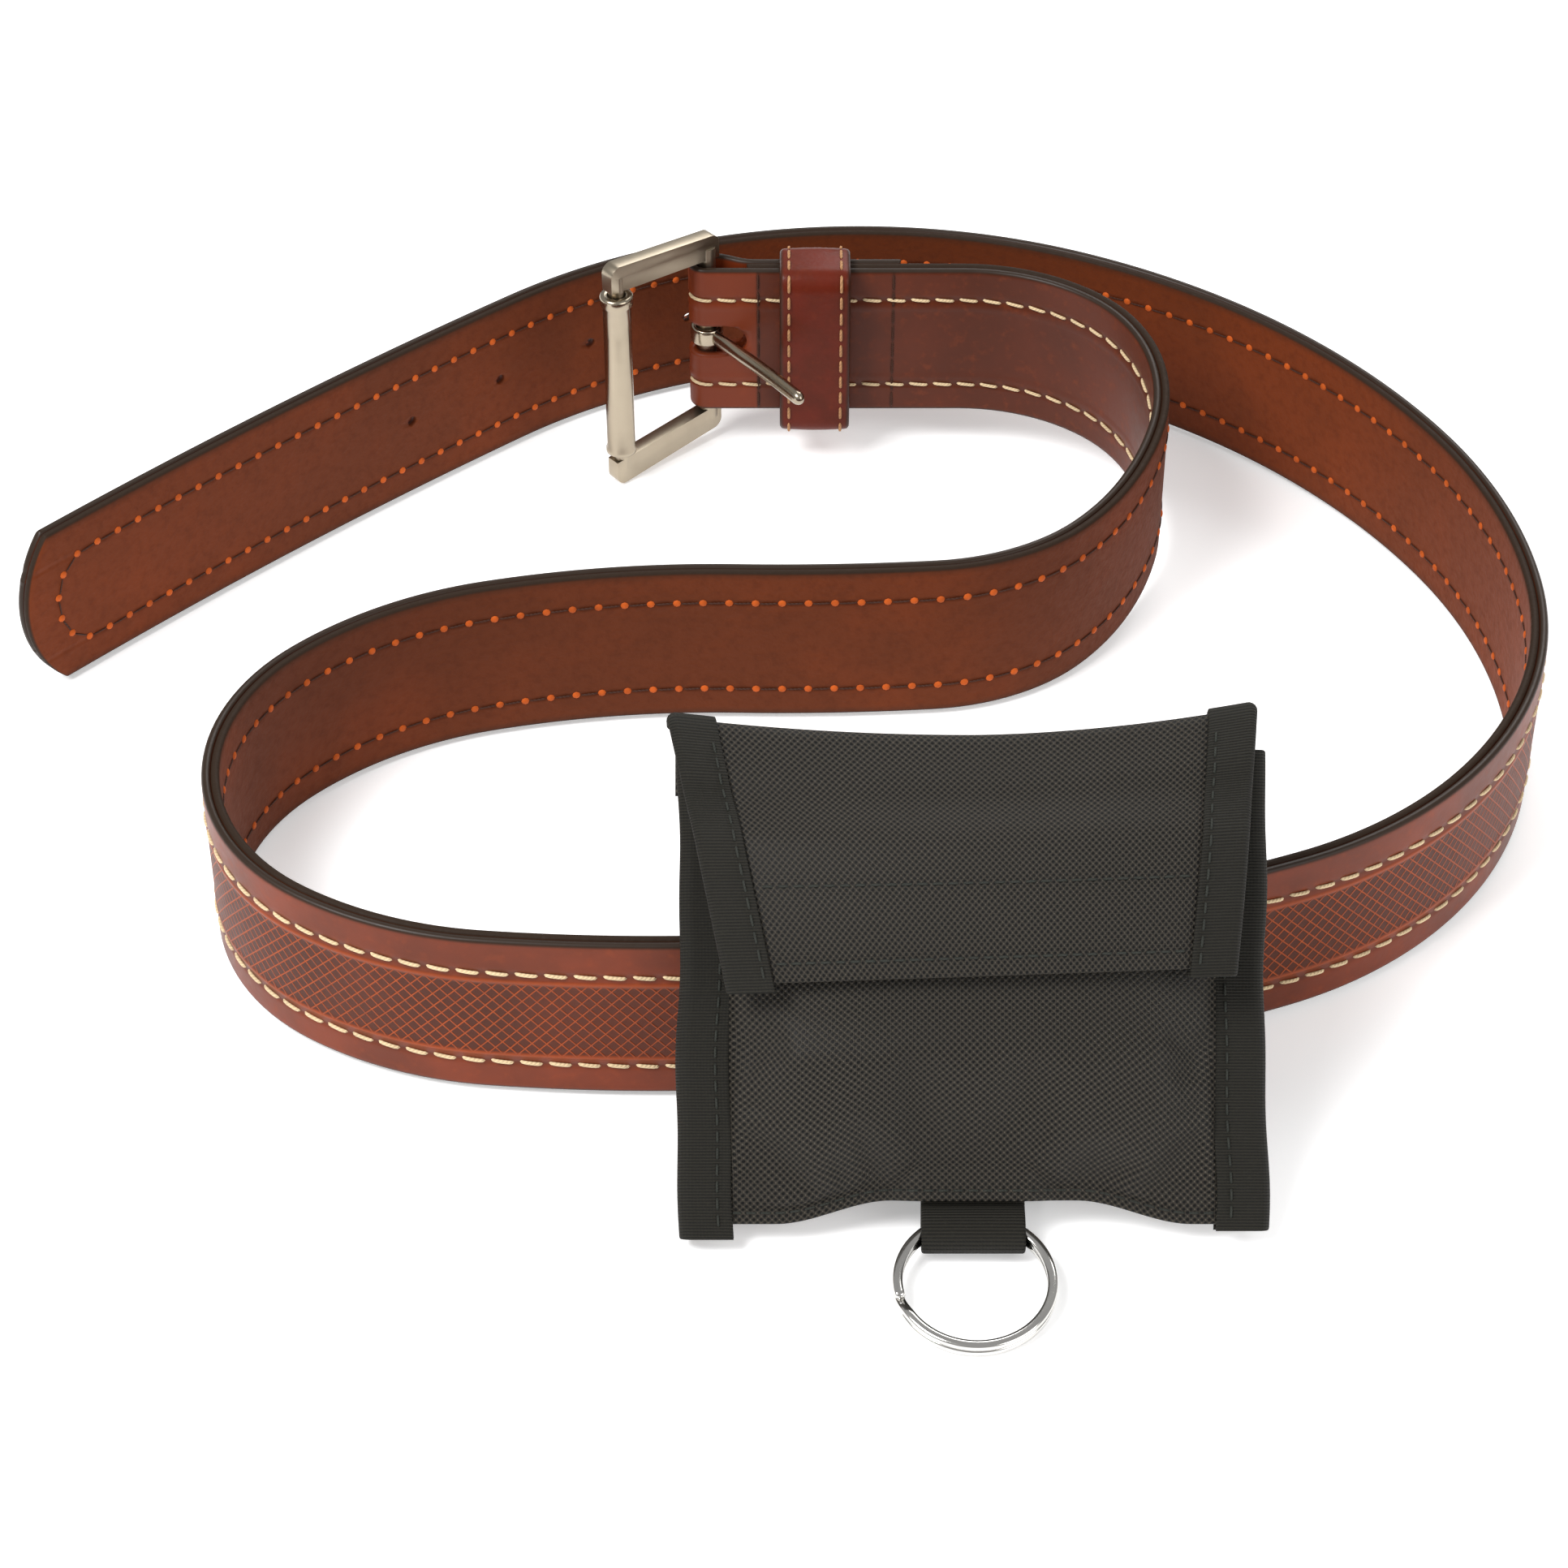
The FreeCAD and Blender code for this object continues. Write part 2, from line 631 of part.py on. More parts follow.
for side_name, sign in (("left", "0 - "), ("right", "")):
    edging = new_body("side_binding_" + side_name, pouch_place)
    channel = new_sketch(edging, "Channel" + side_name.title())
    seam_inner = sign + "( " + HALF_PANEL + " + binding - binding_width )"
    seam_edge = sign + HALF_PANEL
    seam_outer = sign + "( " + HALF_PANEL + " + binding )"
    outline(channel, [
        (seam_inner, "binding"), (seam_outer, "binding"),
        (seam_outer, "0 - panel - flange - binding"), (seam_inner, "0 - panel - flange - binding"),
        (seam_inner, "0 - panel - flange"), (seam_edge, "0 - panel - flange"),
        (seam_edge, "0"), (seam_inner, "0"),
    ])
    pad(edging, channel, "pouch_height - binding_stop")
    node(edging)

# The front bows out on one circle through its foot and its mouth
foot = (size("foot_depth"), size("pocket_foot"))
pocket_mouth = size("pouch_height") - size("mouth_drop")
mouth = (size("mouth_depth"), pocket_mouth)
half_chord = math.hypot(mouth[0] - foot[0], mouth[1] - foot[1]) / 2
bow = size("bulge")
bow_radius = (half_chord ** 2 + bow ** 2) / (2 * bow)
bow_out = ((mouth[1] - foot[1]) / (2 * half_chord), (foot[0] - mouth[0]) / (2 * half_chord))
bow_centre = [(foot[i] + mouth[i]) / 2 - bow_out[i] * (bow_radius - bow) for i in (0, 1)]


def bowed(offset, height):
    """Depth of the bowed front, set off outwards, at a height."""
    reach = bow_radius + offset
    return bow_centre[0] + math.sqrt(reach ** 2 - (height - bow_centre[1]) ** 2)


def side_point(depth, height):
    return Vector(0, -depth, height)


def bow_arc(offset, low, high):
    points = [side_point(bowed(offset, v), v) for v in (low, (low + high) / 2, high)]
    return Part.Arc(*points).toShape()


def side_face(edges, corners):
    """Face in the side view: some edges, closed by straight ones through the corners."""
    lines = [Part.LineSegment(a, b).toShape() for a, b in zip(corners, corners[1:])]
    return Part.Face(Part.Wire(Part.__sortEdges__(edges + lines)))


def across(face, width, middle=0.0):
    face = face.copy()
    face.translate(ACROSS * (middle - width / 2))
    return face.extrude(ACROSS * width)


def shell_slice(inner, outer, low, high, width):
    """Curved slab between two offsets of the bowed front."""
    arcs_ = [bow_arc(inner, low, high), bow_arc(outer, low, high)]
    ends = [[side_point(bowed(k, v), v) for k in (inner, outer)] for v in (low, high)]
    lines = [Part.LineSegment(*pair).toShape() for pair in ends]
    return across(Part.Face(Part.Wire(Part.__sortEdges__(arcs_ + lines))), width)


panel = size("panel")
flange = size("flange")
wall = size("wall")


def bulge_block(offset, low, high, width):
    """Everything between the back panel and an offset of the bowed front."""
    corners = [side_point(bowed(offset, low), low), side_point(panel, low),
               side_point(panel, high), side_point(bowed(offset, high), high)]
    return across(side_face([bow_arc(offset, low, high)], corners), width)


flange_body = new_body("FrontFlange", Placement())
flange_outline = new_sketch(flange_body, "FlangeOutline", "XZ_Plane")
bind(flange_outline, AttachmentOffset__Base__z=cell("panel"))
panel_outline(flange_outline, "pouch_height - mouth_drop")
pad(flange_body, flange_outline, "flange")
doc.recompute()
pocket_width = size("pouch_width") - 2 * size("pocket_margin")
hollow = bulge_block(-wall, size("pocket_foot") + wall, pocket_mouth + wall,
                     pocket_width - 2 * wall)
tab_thickness = 2 * size("tab_web")
tab_top = size("arch_height") + size("tab_seam")
tab_passage = Part.makeBox(size("tab_width"), tab_thickness, tab_top,
                           Vector(-size("tab_width") / 2, -panel - tab_thickness, 0))
front_panel = bulge_block(0, size("pocket_foot"), pocket_mouth, pocket_width)
front_panel = front_panel.fuse(flange_body.Shape).cut([hollow, tab_passage]).removeSplitter()
node(feature("pouch_front_panel", front_panel, pouch_place))

tape = size("tape")
flap_foot = size("pouch_height") - size("flap_drop")
tape_low = flap_foot + size("tape_rise")
tape_high = tape_low + size("tape_height")
flap_in = 2 * tape + size("tape_gap")
flap_out = flap_in + size("flap_ply")
loop_tape = shell_slice(0, tape, tape_low, tape_high, size("tape_width"))
node(feature("front_loop_tape", loop_tape, pouch_place))
hook_tape = shell_slice(flap_in - tape, flap_in, tape_low, tape_high, size("tape_width"))
node(feature("flap_hook_tape", hook_tape, pouch_place))

# ---------------------------------------------------------------------------------------------
# Flap: concentric with the bowed front, then straight up to a rounded fold
# ---------------------------------------------------------------------------------------------
fold_axis = side_point(panel, size("pouch_height") - size("fold_radius"))
flap_lead = size("pouch_height") - size("lead_drop")


def flap_block(grow, width):
    """The flap's cloth, thickened on both faces."""
    inner, outer = flap_in - grow, flap_out + grow
    curved = shell_slice(inner, outer, flap_foot, flap_lead, width)
    low_in, low_out = [side_point(bowed(k, flap_lead), flap_lead) for k in (inner, outer)]
    way = (fold_axis - (low_in + low_out) / 2).normalize()
    thick = Vector(0, -way.z, way.y) * (size("flap_ply") / 2 + grow)
    high_in, high_out = fold_axis - thick, fold_axis + thick
    if (low_out - low_in).dot(thick) < 0:
        high_in, high_out = high_out, high_in
    lead = side_face([], [low_in, low_out, high_out, high_in, low_in])
    return curved.fuse(across(lead, width))


def flap_strip(left_low, right_low, left_high, right_high, low, high):
    """Block that keeps a slanted strip of the flap, seen from its front."""
    corners = [Vector(left_low, 0, low), Vector(right_low, 0, low),
               Vector(right_high, 0, high), Vector(left_high, 0, high)]
    reach = size("pouch_height")
    face = Part.Face(Part.makePolygon(corners + corners[:1]))
    face.translate(Vector(0, reach / 2, 0))
    return face.extrude(Vector(0, -reach, 0))


flap_width = size("pouch_width") + 2 * size("flap_overhang")
flap_half = flap_width / 2
pouch_top = size("pouch_height")
flap_cloth = flap_block(0, flap_width).fuse(
    Part.makeCylinder(size("fold_radius"), flap_width,
                      fold_axis - ACROSS * flap_half, ACROSS))
left_foot = -flap_half + size("flap_taper_left")
right_foot = flap_half - size("flap_taper_right")
flap_cloth = flap_cloth.common(
    flap_strip(left_foot, right_foot, -flap_half, flap_half, flap_foot, pouch_top))
flap_cloth = flap_cloth.removeSplitter()
node(feature("pouch_flap", flap_cloth, pouch_place))


def flap_edging(edge_low, edge_high, side):
    """Folded binding along one slanted edge; side is -1 on the left and 1 on the right."""
    stop = pouch_top - size("flap_binding_stop")
    slope = (edge_high - edge_low) / (pouch_top - flap_foot)
    edge_stop = edge_low + slope * (stop - flap_foot)
    out = side * size("binding")
    inn = out - side * size("binding_width")
    low = sorted((edge_low + out, edge_low + inn))
    high = sorted((edge_stop + out, edge_stop + inn))
    strip = flap_strip(low[0], low[1], high[0], high[1], flap_foot, stop)
    wide = flap_width + 4 * size("binding")
    return flap_block(size("binding"), wide).common(strip).cut(flap_cloth).removeSplitter()


node(feature("flap_binding_left", flap_edging(left_foot, -flap_half, -1), pouch_place))
node(feature("flap_binding_right", flap_edging(right_foot, flap_half, 1), pouch_place))


# ---------------------------------------------------------------------------------------------
# Webbing: loop round the belt, and the ring's tab
# ---------------------------------------------------------------------------------------------
def ribbon(points, thickness):
    """Face in the side view round a line of points, half the thickness to each side."""
    def line_normal(a, b):
        way = (b - a).normalize()
        return Vector(0, -way.z, way.y)

    sides_ = ([], [])
    for i, point in enumerate(points):
        before = line_normal(points[i - 1], point) if i else None
        after = line_normal(point, points[i + 1]) if i + 1 < len(points) else None
        if before is None or after is None:
            mitre = before or after
        else:
            mitre = (before + after) * (1 / (1 + before.dot(after)))
        for line, side in zip(sides_, (1, -1)):
            line.append(point + mitre * (side * thickness / 2))
    rim = sides_[0] + sides_[1][::-1]
    return Part.Face(Part.makePolygon(rim + rim[:1]))


def belt_face_y(radius, x):
    """Where the curved belt's face stands at a place across the pouch."""
    turn = math.radians(size("front_heading"))
    line_radius = size("front_radius")
    centre = Vector(-math.sin(turn), math.cos(turn), 0) * line_radius
    return centre.y - math.sqrt(radius ** 2 - (x - centre.x) ** 2)


web = size("loop_web")
slack = size("loop_slack")
rear_y = belt_face_y(size("front_radius") - size("ply"), size("loop_width") / 2) \
    + slack + web / 2
cover_z = strap_top + slack + web / 2
cover_height = (cover_z - pouch_low + web / 2 * math.sin(lean)) / math.cos(lean)
loop_foot = size("loop_foot")
loop_points = [
    panel_point(-web / 2, loop_foot + size("loop_seam")),
    panel_point(-web / 2, loop_foot),
    Vector(0, panel_point(0, loop_foot).y + size("loop_foot") / 2, web / 2),
    Vector(0, rear_y, web / 2),
    Vector(0, rear_y, cover_z),
    panel_point(-web / 2, cover_height),
    panel_point(-web / 2, cover_height + size("loop_seam")),
]
node(feature("pouch_belt_loop", across(ribbon(loop_points, web), size("loop_width"))))

tunnel_outer = size("tunnel_radius") + size("tab_web")
tab_depth = panel + tab_thickness / 2
tunnel_height = (tunnel_outer - pouch_low - tab_depth * math.sin(lean)) / math.cos(lean)
tunnel_middle = side_point(tab_depth, tunnel_height)
tab_left = -size("tab_width") / 2
tab_tongue = Part.makeBox(size("tab_width"), tab_thickness, tab_top - tunnel_height,
                          Vector(tab_left, -panel - tab_thickness, tunnel_height))
ring_tab = tab_tongue.fuse(Part.makeCylinder(tunnel_outer, size("tab_width"),
                                             tunnel_middle + ACROSS * tab_left, ACROSS))
ring_tab = ring_tab.cut(Part.makeCylinder(size("tunnel_radius"), size("tab_width"),
                                          tunnel_middle + ACROSS * tab_left, ACROSS))
node(feature("ring_tab", ring_tab.removeSplitter(), pouch_place))

# The ring hangs in the tab's tunnel and its far side lies on the floor
ring_outer = size("ring_radius") + size("ring_wire") / 2
ring_inner = size("ring_radius") - size("ring_wire") / 2
chord_reach = math.sqrt(ring_inner ** 2 - (size("tab_width") / 2) ** 2)
hang = (ring_outer + chord_reach) / 2
ring_tilt = 0.0
for attempt in range(20):
    drop = tunnel_outer - size("ring_height") / 2 * math.cos(ring_tilt)
    ring_tilt = math.asin(drop / (ring_outer + hang))
tunnel = pouch_place.multVec(tunnel_middle)
ring_centre = tunnel + Vector(0, -math.cos(ring_tilt), -math.sin(ring_tilt)) * hang
ring_place = Placement(ring_centre, Rotation(ACROSS, math.degrees(ring_tilt)))
ring = cut("split_ring",
           cylinder("RingOuter", "ring_radius + ring_wire / 2", "ring_height", "0"),
           cylinder("RingInner", "ring_radius - ring_wire / 2", "2 * ring_height", "0"),
           ring_place)
node(ring)

# ---------------------------------------------------------------------------------------------
# Check and write
# ---------------------------------------------------------------------------------------------
doc.recompute()
for obj in doc.Objects:
    if "Invalid" in obj.State or "Error" in obj.State:
        raise RuntimeError("%s failed: %s" % (obj.Label, obj.State))
os.makedirs("parts", exist_ok=True)
for obj in NODES:
    if obj.Shape.isNull() or not obj.Shape.isValid():
        raise RuntimeError("%s has no valid shape" % obj.Label)
    if len(obj.Shape.Solids) != 1:
        raise RuntimeError("%s is %d solids" % (obj.Label, len(obj.Shape.Solids)))
for obj in NODES:
    obj.Shape.exportStep("parts/%s.step" % obj.Label)

fold_point = pouch_place.multVec(fold_axis)
arc_centre = left_of(size("front_heading")) * size("front_radius")
for title, point in (("heel bar", heel), ("buckle middle height", UP * buckle_mid),
                     ("front bar", buckle_place.multVec(ACROSS * size("buckle_depth"))),
                     ("flap fold", fold_point), ("ring tunnel", tunnel),
                     ("front arc centre", arc_centre), ("keeper", keeper_place),
                     ("tongue tip", along(level_line[0], 0)[0])):
    print("%-22s %9.3f %9.3f %9.3f" % (title, point.x, point.y, point.z))
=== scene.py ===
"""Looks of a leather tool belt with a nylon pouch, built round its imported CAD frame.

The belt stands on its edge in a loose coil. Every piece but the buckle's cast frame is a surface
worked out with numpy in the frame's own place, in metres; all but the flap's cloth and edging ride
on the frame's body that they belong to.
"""
import json
import math

import bmesh
import bpy
import numpy as np
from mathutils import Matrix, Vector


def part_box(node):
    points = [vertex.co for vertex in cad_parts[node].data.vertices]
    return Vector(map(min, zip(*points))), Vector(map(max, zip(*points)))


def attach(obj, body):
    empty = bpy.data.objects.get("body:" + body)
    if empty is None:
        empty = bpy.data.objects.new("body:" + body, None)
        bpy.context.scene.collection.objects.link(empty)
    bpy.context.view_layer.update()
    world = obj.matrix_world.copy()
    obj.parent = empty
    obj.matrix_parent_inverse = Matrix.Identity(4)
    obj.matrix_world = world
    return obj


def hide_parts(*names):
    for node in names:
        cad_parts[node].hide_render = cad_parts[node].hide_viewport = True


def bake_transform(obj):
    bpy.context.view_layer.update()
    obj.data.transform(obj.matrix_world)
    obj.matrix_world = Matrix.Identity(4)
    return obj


bl_info = {
    "name": "Tool belt",
    "version": (1, 0, 0),
    "blender": (4, 5, 0),
    "location": "View3D > Sidebar > Tool belt",
    "description": "Builds a leather tool belt and its nylon pouch piece by piece",
    "category": "Object",
}

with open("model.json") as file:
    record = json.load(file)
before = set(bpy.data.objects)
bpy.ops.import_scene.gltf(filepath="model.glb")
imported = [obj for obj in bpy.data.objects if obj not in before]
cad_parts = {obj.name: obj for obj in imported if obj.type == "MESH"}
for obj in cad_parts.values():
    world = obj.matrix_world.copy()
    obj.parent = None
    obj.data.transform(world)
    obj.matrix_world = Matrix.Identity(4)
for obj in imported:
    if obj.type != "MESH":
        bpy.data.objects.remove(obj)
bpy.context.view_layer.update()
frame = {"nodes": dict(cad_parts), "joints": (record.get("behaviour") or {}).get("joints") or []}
JOINTS = {joint["name"]: joint for joint in frame["joints"]}
HEEL_BAR = np.array(JOINTS["buckle_hinge"]["pos_m"])
FRONT_BAR = np.array(JOINTS["roller_spin"]["pos_m"])
FLAP_FOLD = np.array(JOINTS["flap_hinge"]["pos_m"])
RING_TUNNEL = np.array(JOINTS["ring_hinge"]["pos_m"])

# The belt's plan as (signed radius, turn in degrees), left turns positive, from under the pouch
FRONT_HEADING = 10.0
TO_TONGUE = [(0.330, 11.7), (0.091, 69.0), (0.122, 26.0), (0.154, 38.5), (0.123, 65.0),
             (1.100, 7.2)]
TO_MID = [(-0.330, 15.6), (-0.075, 28.0), (-0.0477, 100.6), (-0.078, 31.5), (-0.190, 15.7),
          (0.390, 6.2)]
TO_RUN = [(0.049, 40.0), (0.072, 28.4), (0.042, 106.8)]
BUCKLE_RUN = 0.058
RISE_START = 0.008
RISE_END = 0.012
# Where the lattice and its ridges fade out, along the strap towards the buckle
RIDGE_END = 0.885


# ---------------------------------------------------------------------------------------------
# Sizes and colours
# ---------------------------------------------------------------------------------------------
def length(name, default, description):
    return bpy.props.FloatProperty(name=name, description=description, default=default,
                                   unit="LENGTH", precision=5)


def degrees(name, default, description):
    return bpy.props.FloatProperty(name=name, description=description,
                                   default=math.radians(default), subtype="ANGLE", unit="ROTATION")


def amount(name, default, description):
    return bpy.props.FloatProperty(name=name, description=description, default=default)


def count(name, default, description):
    return bpy.props.IntProperty(name=name, description=description, default=default, min=1)


def colour(name, red, green, blue, description):
    """A colour given in 0 to 255 display values, kept as linear light."""
    linear = [((c / 255 + 0.055) / 1.055) ** 2.4 if c > 10 else c / 255 / 12.92
              for c in (red, green, blue)]
    return bpy.props.FloatVectorProperty(name=name, description=description, size=3,
                                         subtype="COLOR", default=linear, min=0, max=1)


class BeltSizes(bpy.types.PropertyGroup):
    """Sizes of the strap, its stitching and its keeper"""
    width: length("Strap width", 0.0381, "Height of the standing strap")
    ply: length("Ply", 0.0018, "Thickness of one leather ply")
    low: length("Lower edge", 0.0010, "Strap's lower edge above the floor")
    buckle_low: length("Lower edge at the buckle", 0.01045, "Lower edge along the buckle run")
    tip_radius: length("Tongue radius", 0.027, "Rounded end of the tongue")
    tip_trim: length("Tongue trim", 0.0005, "What the rounding takes off the very tip")
    hole_radius: length("Prong hole", 0.0019, "Radius of the prong holes in the front ply")
    hole_closed: length("Closed hole", 0.0012, "Radius to which the lining closes round a hole")
    hole_pitch: length("Prong hole spacing", 0.0254, "Distance from hole to hole")
    hole_count: count("Prong holes", 7, "Number of prong holes")
    first_hole: length("First hole", 0.107, "First hole from the tongue's tip")
    eye_radius: length("Fold eye", 0.00228, "Inside radius of the fold round the buckle's bar")
    fold_sweep: length("Fold sweep", 0.012, "Radius with which the fold closes on the lining")
    fold_tail: length("Fold tail", 0.033, "Flat part of the fold behind the lining")
    slot_height: length("Slot height", 0.008, "Height of the prong's slot")
    slot_front: length("Slot front", 0.0092, "Slot along the front of the strap from the bar")
    slot_back: length("Slot back", 0.009, "Slot along the back of the fold from the bar")
    upper_row: length("Upper stitch row", 0.0301, "Height of the upper stitch row")
    lower_row: length("Lower stitch row", 0.0072, "Height of the lower stitch row")
    stitch: length("Stitch pitch", 0.0055, "Distance from stitch to stitch")
    thread: length("Thread", 0.00039, "Thread radius")
    lattice: length("Lattice", 0.0028, "Spacing of the embossed lattice along the strap")
    first_seam: length("First seam", 0.0118, "Fold's front seam from the bar")
    second_seam: length("Second seam", 0.0425, "Fold's rear seam from the bar")
    keeper_width: length("Keeper width", 0.016, "Keeper along the strap")
    keeper_ply: length("Keeper ply", 0.002, "Keeper leather")
    keeper_place: length("Keeper place", 0.0247, "Keeper's middle from the buckle's bar")
    keeper_gap: length("Keeper gap", 0.0046, "Room for the tongue in front of the strap")
    keeper_clearance: length("Keeper clearance", 0.0005, "Round the strap's edges and back")


class PouchSizes(bpy.types.PropertyGroup):
    """Sizes of the pouch, measured on its own panel: across, up the panel, out from its back"""
    width: length("Pouch width", 0.108, "Over the bindings")
    height: length("Pouch height", 0.0965, "Lower edge to fold")
    lean: degrees("Lean", 43.5, "Panel's angle from upright")
    panel: length("Back panel", 0.002, "Back panel thickness")
    seam: length("Seam", 0.0032, "Both panels together at the seam")
    cloth: length("Cloth", 0.0012, "Thickness of the padded cloth")
    pocket_half: length("Pocket half", 0.0440, "Half width of the bulging pocket")
    foot: length("Pocket foot", 0.006, "Height at which the bulge starts")
    mouth: length("Pocket mouth", 0.080, "Height of the mouth")
    foot_depth: length("Foot depth", 0.0040, "Bulge's depth at its foot")
    mouth_depth: length("Mouth depth", 0.0105, "Bulge's depth at the mouth")
    bulge: length("Bulge", 0.0068, "How far the front bows out between foot and mouth")
    billow: length("Billow", 0.0026, "Furthest that the pocket's cloth moves as it fills")
    hem: length("Hem", 0.0036, "Lower edge of the panels at the bindings")
    arch: length("Arch", 0.0043, "How far the lower edge lifts in the middle")
    arch_width: length("Arch width", 0.034, "Lifted part of the lower edge")
    arch_slope: length("Arch slope", 0.021, "Width over which the lower edge comes down")
    arch_shift: length("Arch shift", 0.002, "Arch's middle from the panel's middle")
    binding: length("Binding", 0.0009, "Binding thickness")
    binding_width: length("Binding width", 0.010, "Binding over each side")
    binding_stop: length("Binding stop", 0.006, "Side binding's upper end below the fold")
    flap_foot: length("Flap foot", 0.0488, "Height of the flap's lower edge")
    flap_rise: length("Flap rise", 0.0018, "How much higher the flap's lower edge is on the right")
    edging_tail: length("Edging tail", 0.0016, "Flap's edging past its lower edge")
    flap_tilt: length("Flap tilt", 0.0024, "How much higher the fold's right end is")
    flap_left: length("Flap left", 0.0562, "Flap's left edge from its middle, at the fold")
    flap_right: length("Flap right", 0.0528, "Flap's right edge from its middle, at the fold")
    taper_left: length("Left taper", 0.0110, "Flap's left edge, fold to foot")
    taper_right: length("Right taper", 0.0054, "Flap's right edge, fold to foot")
    edging_round: length("Edging round", 0.00115, "Radius of the edging's fold")
    fold_radius: length("Fold radius", 0.0022, "Rounded fold of the flap")
    sag: length("Sag", 0.0030, "How far the fold sags in its middle")
    tape_low: length("Tape low", 0.050, "Hook tape's lower edge")
    tape_height: length("Tape height", 0.020, "Hook tape's height")
    tape_width: length("Tape width", 0.058, "Hook tape's width")
    yarn: length("Yarn", 0.00066, "Width of one yarn of the cloth")
    rib: length("Rib", 0.00056, "Distance from rib to rib of the tapes")
    stitch: length("Stitch pitch", 0.0031, "Distance from stitch to stitch")
    thread: length("Thread", 0.00024, "Thread radius")
    loop_width: length("Loop width", 0.028, "Webbing loop round the belt")
    web: length("Web", 0.0009, "Webbing thickness")
    tab_width: length("Tab width", 0.019, "Ring tab")
    tab_web: length("Tab web", 0.0011, "Ring tab's webbing")
    tab_top: length("Tab top", 0.0176, "Height of the tab's end between the panels")


class HardwareSizes(bpy.types.PropertyGroup):
    """Sizes of the buckle's roller and prong and of the split ring"""
    bevel: length("Frame bevel", 0.0012, "Rounding of the frame's edges")
    roller: length("Roller", 0.0032, "Roller radius")
    roller_wall: length("Roller wall", 0.0012, "Roller tube's wall")
    roller_end: length("Roller end", 0.0213, "Half of the roller's length")
    prong_reach: length("Prong reach", 0.0355, "Prong's tip from the bar")
    prong_width: length("Prong width", 0.0042, "Prong's eye along the bar")
    prong_wall: length("Prong wall", 0.0015, "Prong's eye wall")
    prong_bore: length("Prong bore", 0.00228, "Inside of the prong's eye")
    ring_radius: length("Ring radius", 0.014, "Middle of the ring's wire")
    ring_wire: length("Ring wire", 0.0019, "Wire across the ring's radius")
    ring_coil: length("Ring coil", 0.00155, "Height of one coil")


class Finishes(bpy.types.PropertyGroup):
    """Colours of the leathers, threads, cloths and metals"""
    leather: colour("Leather", 122, 50, 22, "Front of the strap")
    leather_dark: colour("Dark leather", 66, 29, 14, "Hollows and shaded grain")
    leather_light: colour("Light leather", 186, 84, 32, "Raised lines and rubbed grain")
    lining: colour("Lining", 95, 44, 19, "Back of the strap")
    lining_light: colour("Light lining", 124, 54, 19, "Rubbed parts of the back")
    # The edge colour also darkens the lining along its edges as painted shade.
    edge: colour("Edge", 44, 32, 23, "Burnished edges")
    keeper: colour("Keeper", 98, 33, 19, "Keeper and fold")
    cream: colour("Cream thread", 232, 206, 164, "Thread on the front")
    worn: colour("Worn thread", 186, 138, 96, "Thread on the keeper")
    brown: colour("Brown thread", 70, 38, 24, "Thread on the back")
    pucker: colour("Pucker", 198, 90, 28, "Leather raised round each needle hole")
    nylon: colour("Nylon", 50, 46, 40, "Ballistic cloth")
    binding: colour("Binding", 38, 36, 30, "Grosgrain tape")
    black_thread: colour("Black thread", 50, 52, 47, "Thread on the pouch")
    nickel: colour("Nickel", 172, 160, 141, "Buckle")
    steel: colour("Steel", 214, 212, 208, "Split ring")


class Stage(bpy.types.PropertyGroup):
    """Camera and light"""
    elevation: degrees("Elevation", 40.5, "Camera's angle above the horizon")
    distance: length("Distance", 0.8001, "Camera from the point it looks at")
    aim_across: length("Aim across", -0.0330, "Point the camera looks at, along X")
    aim_along: length("Aim along", 0.0853, "Point the camera looks at, along Y")
    lens: amount("Lens", 87.65, "Focal length in millimetres on a 36 mm sensor")
    floor: colour("Floor", 252, 252, 252, "Plain floor")
    glow: amount("Floor glow", 0.35, "Light that the pale floor adds of itself")
    sky: amount("Sky", 0.42, "Brightness of the surrounding light")
    key: amount("Key lamp", 17.0, "Power of the main lamp, in watts")
    fill: amount("Fill lamp", 7.0, "Power of the second lamp, in watts")
    rim: amount("Rim lamp", 7.0, "Power of the lamp behind, in watts")


GROUPS = {"belt": BeltSizes, "pouch": PouchSizes, "hardware": HardwareSizes,
          "finish": Finishes, "stage": Stage}


def sizes(group):
    return getattr(bpy.context.scene, "tool_belt_" + group)


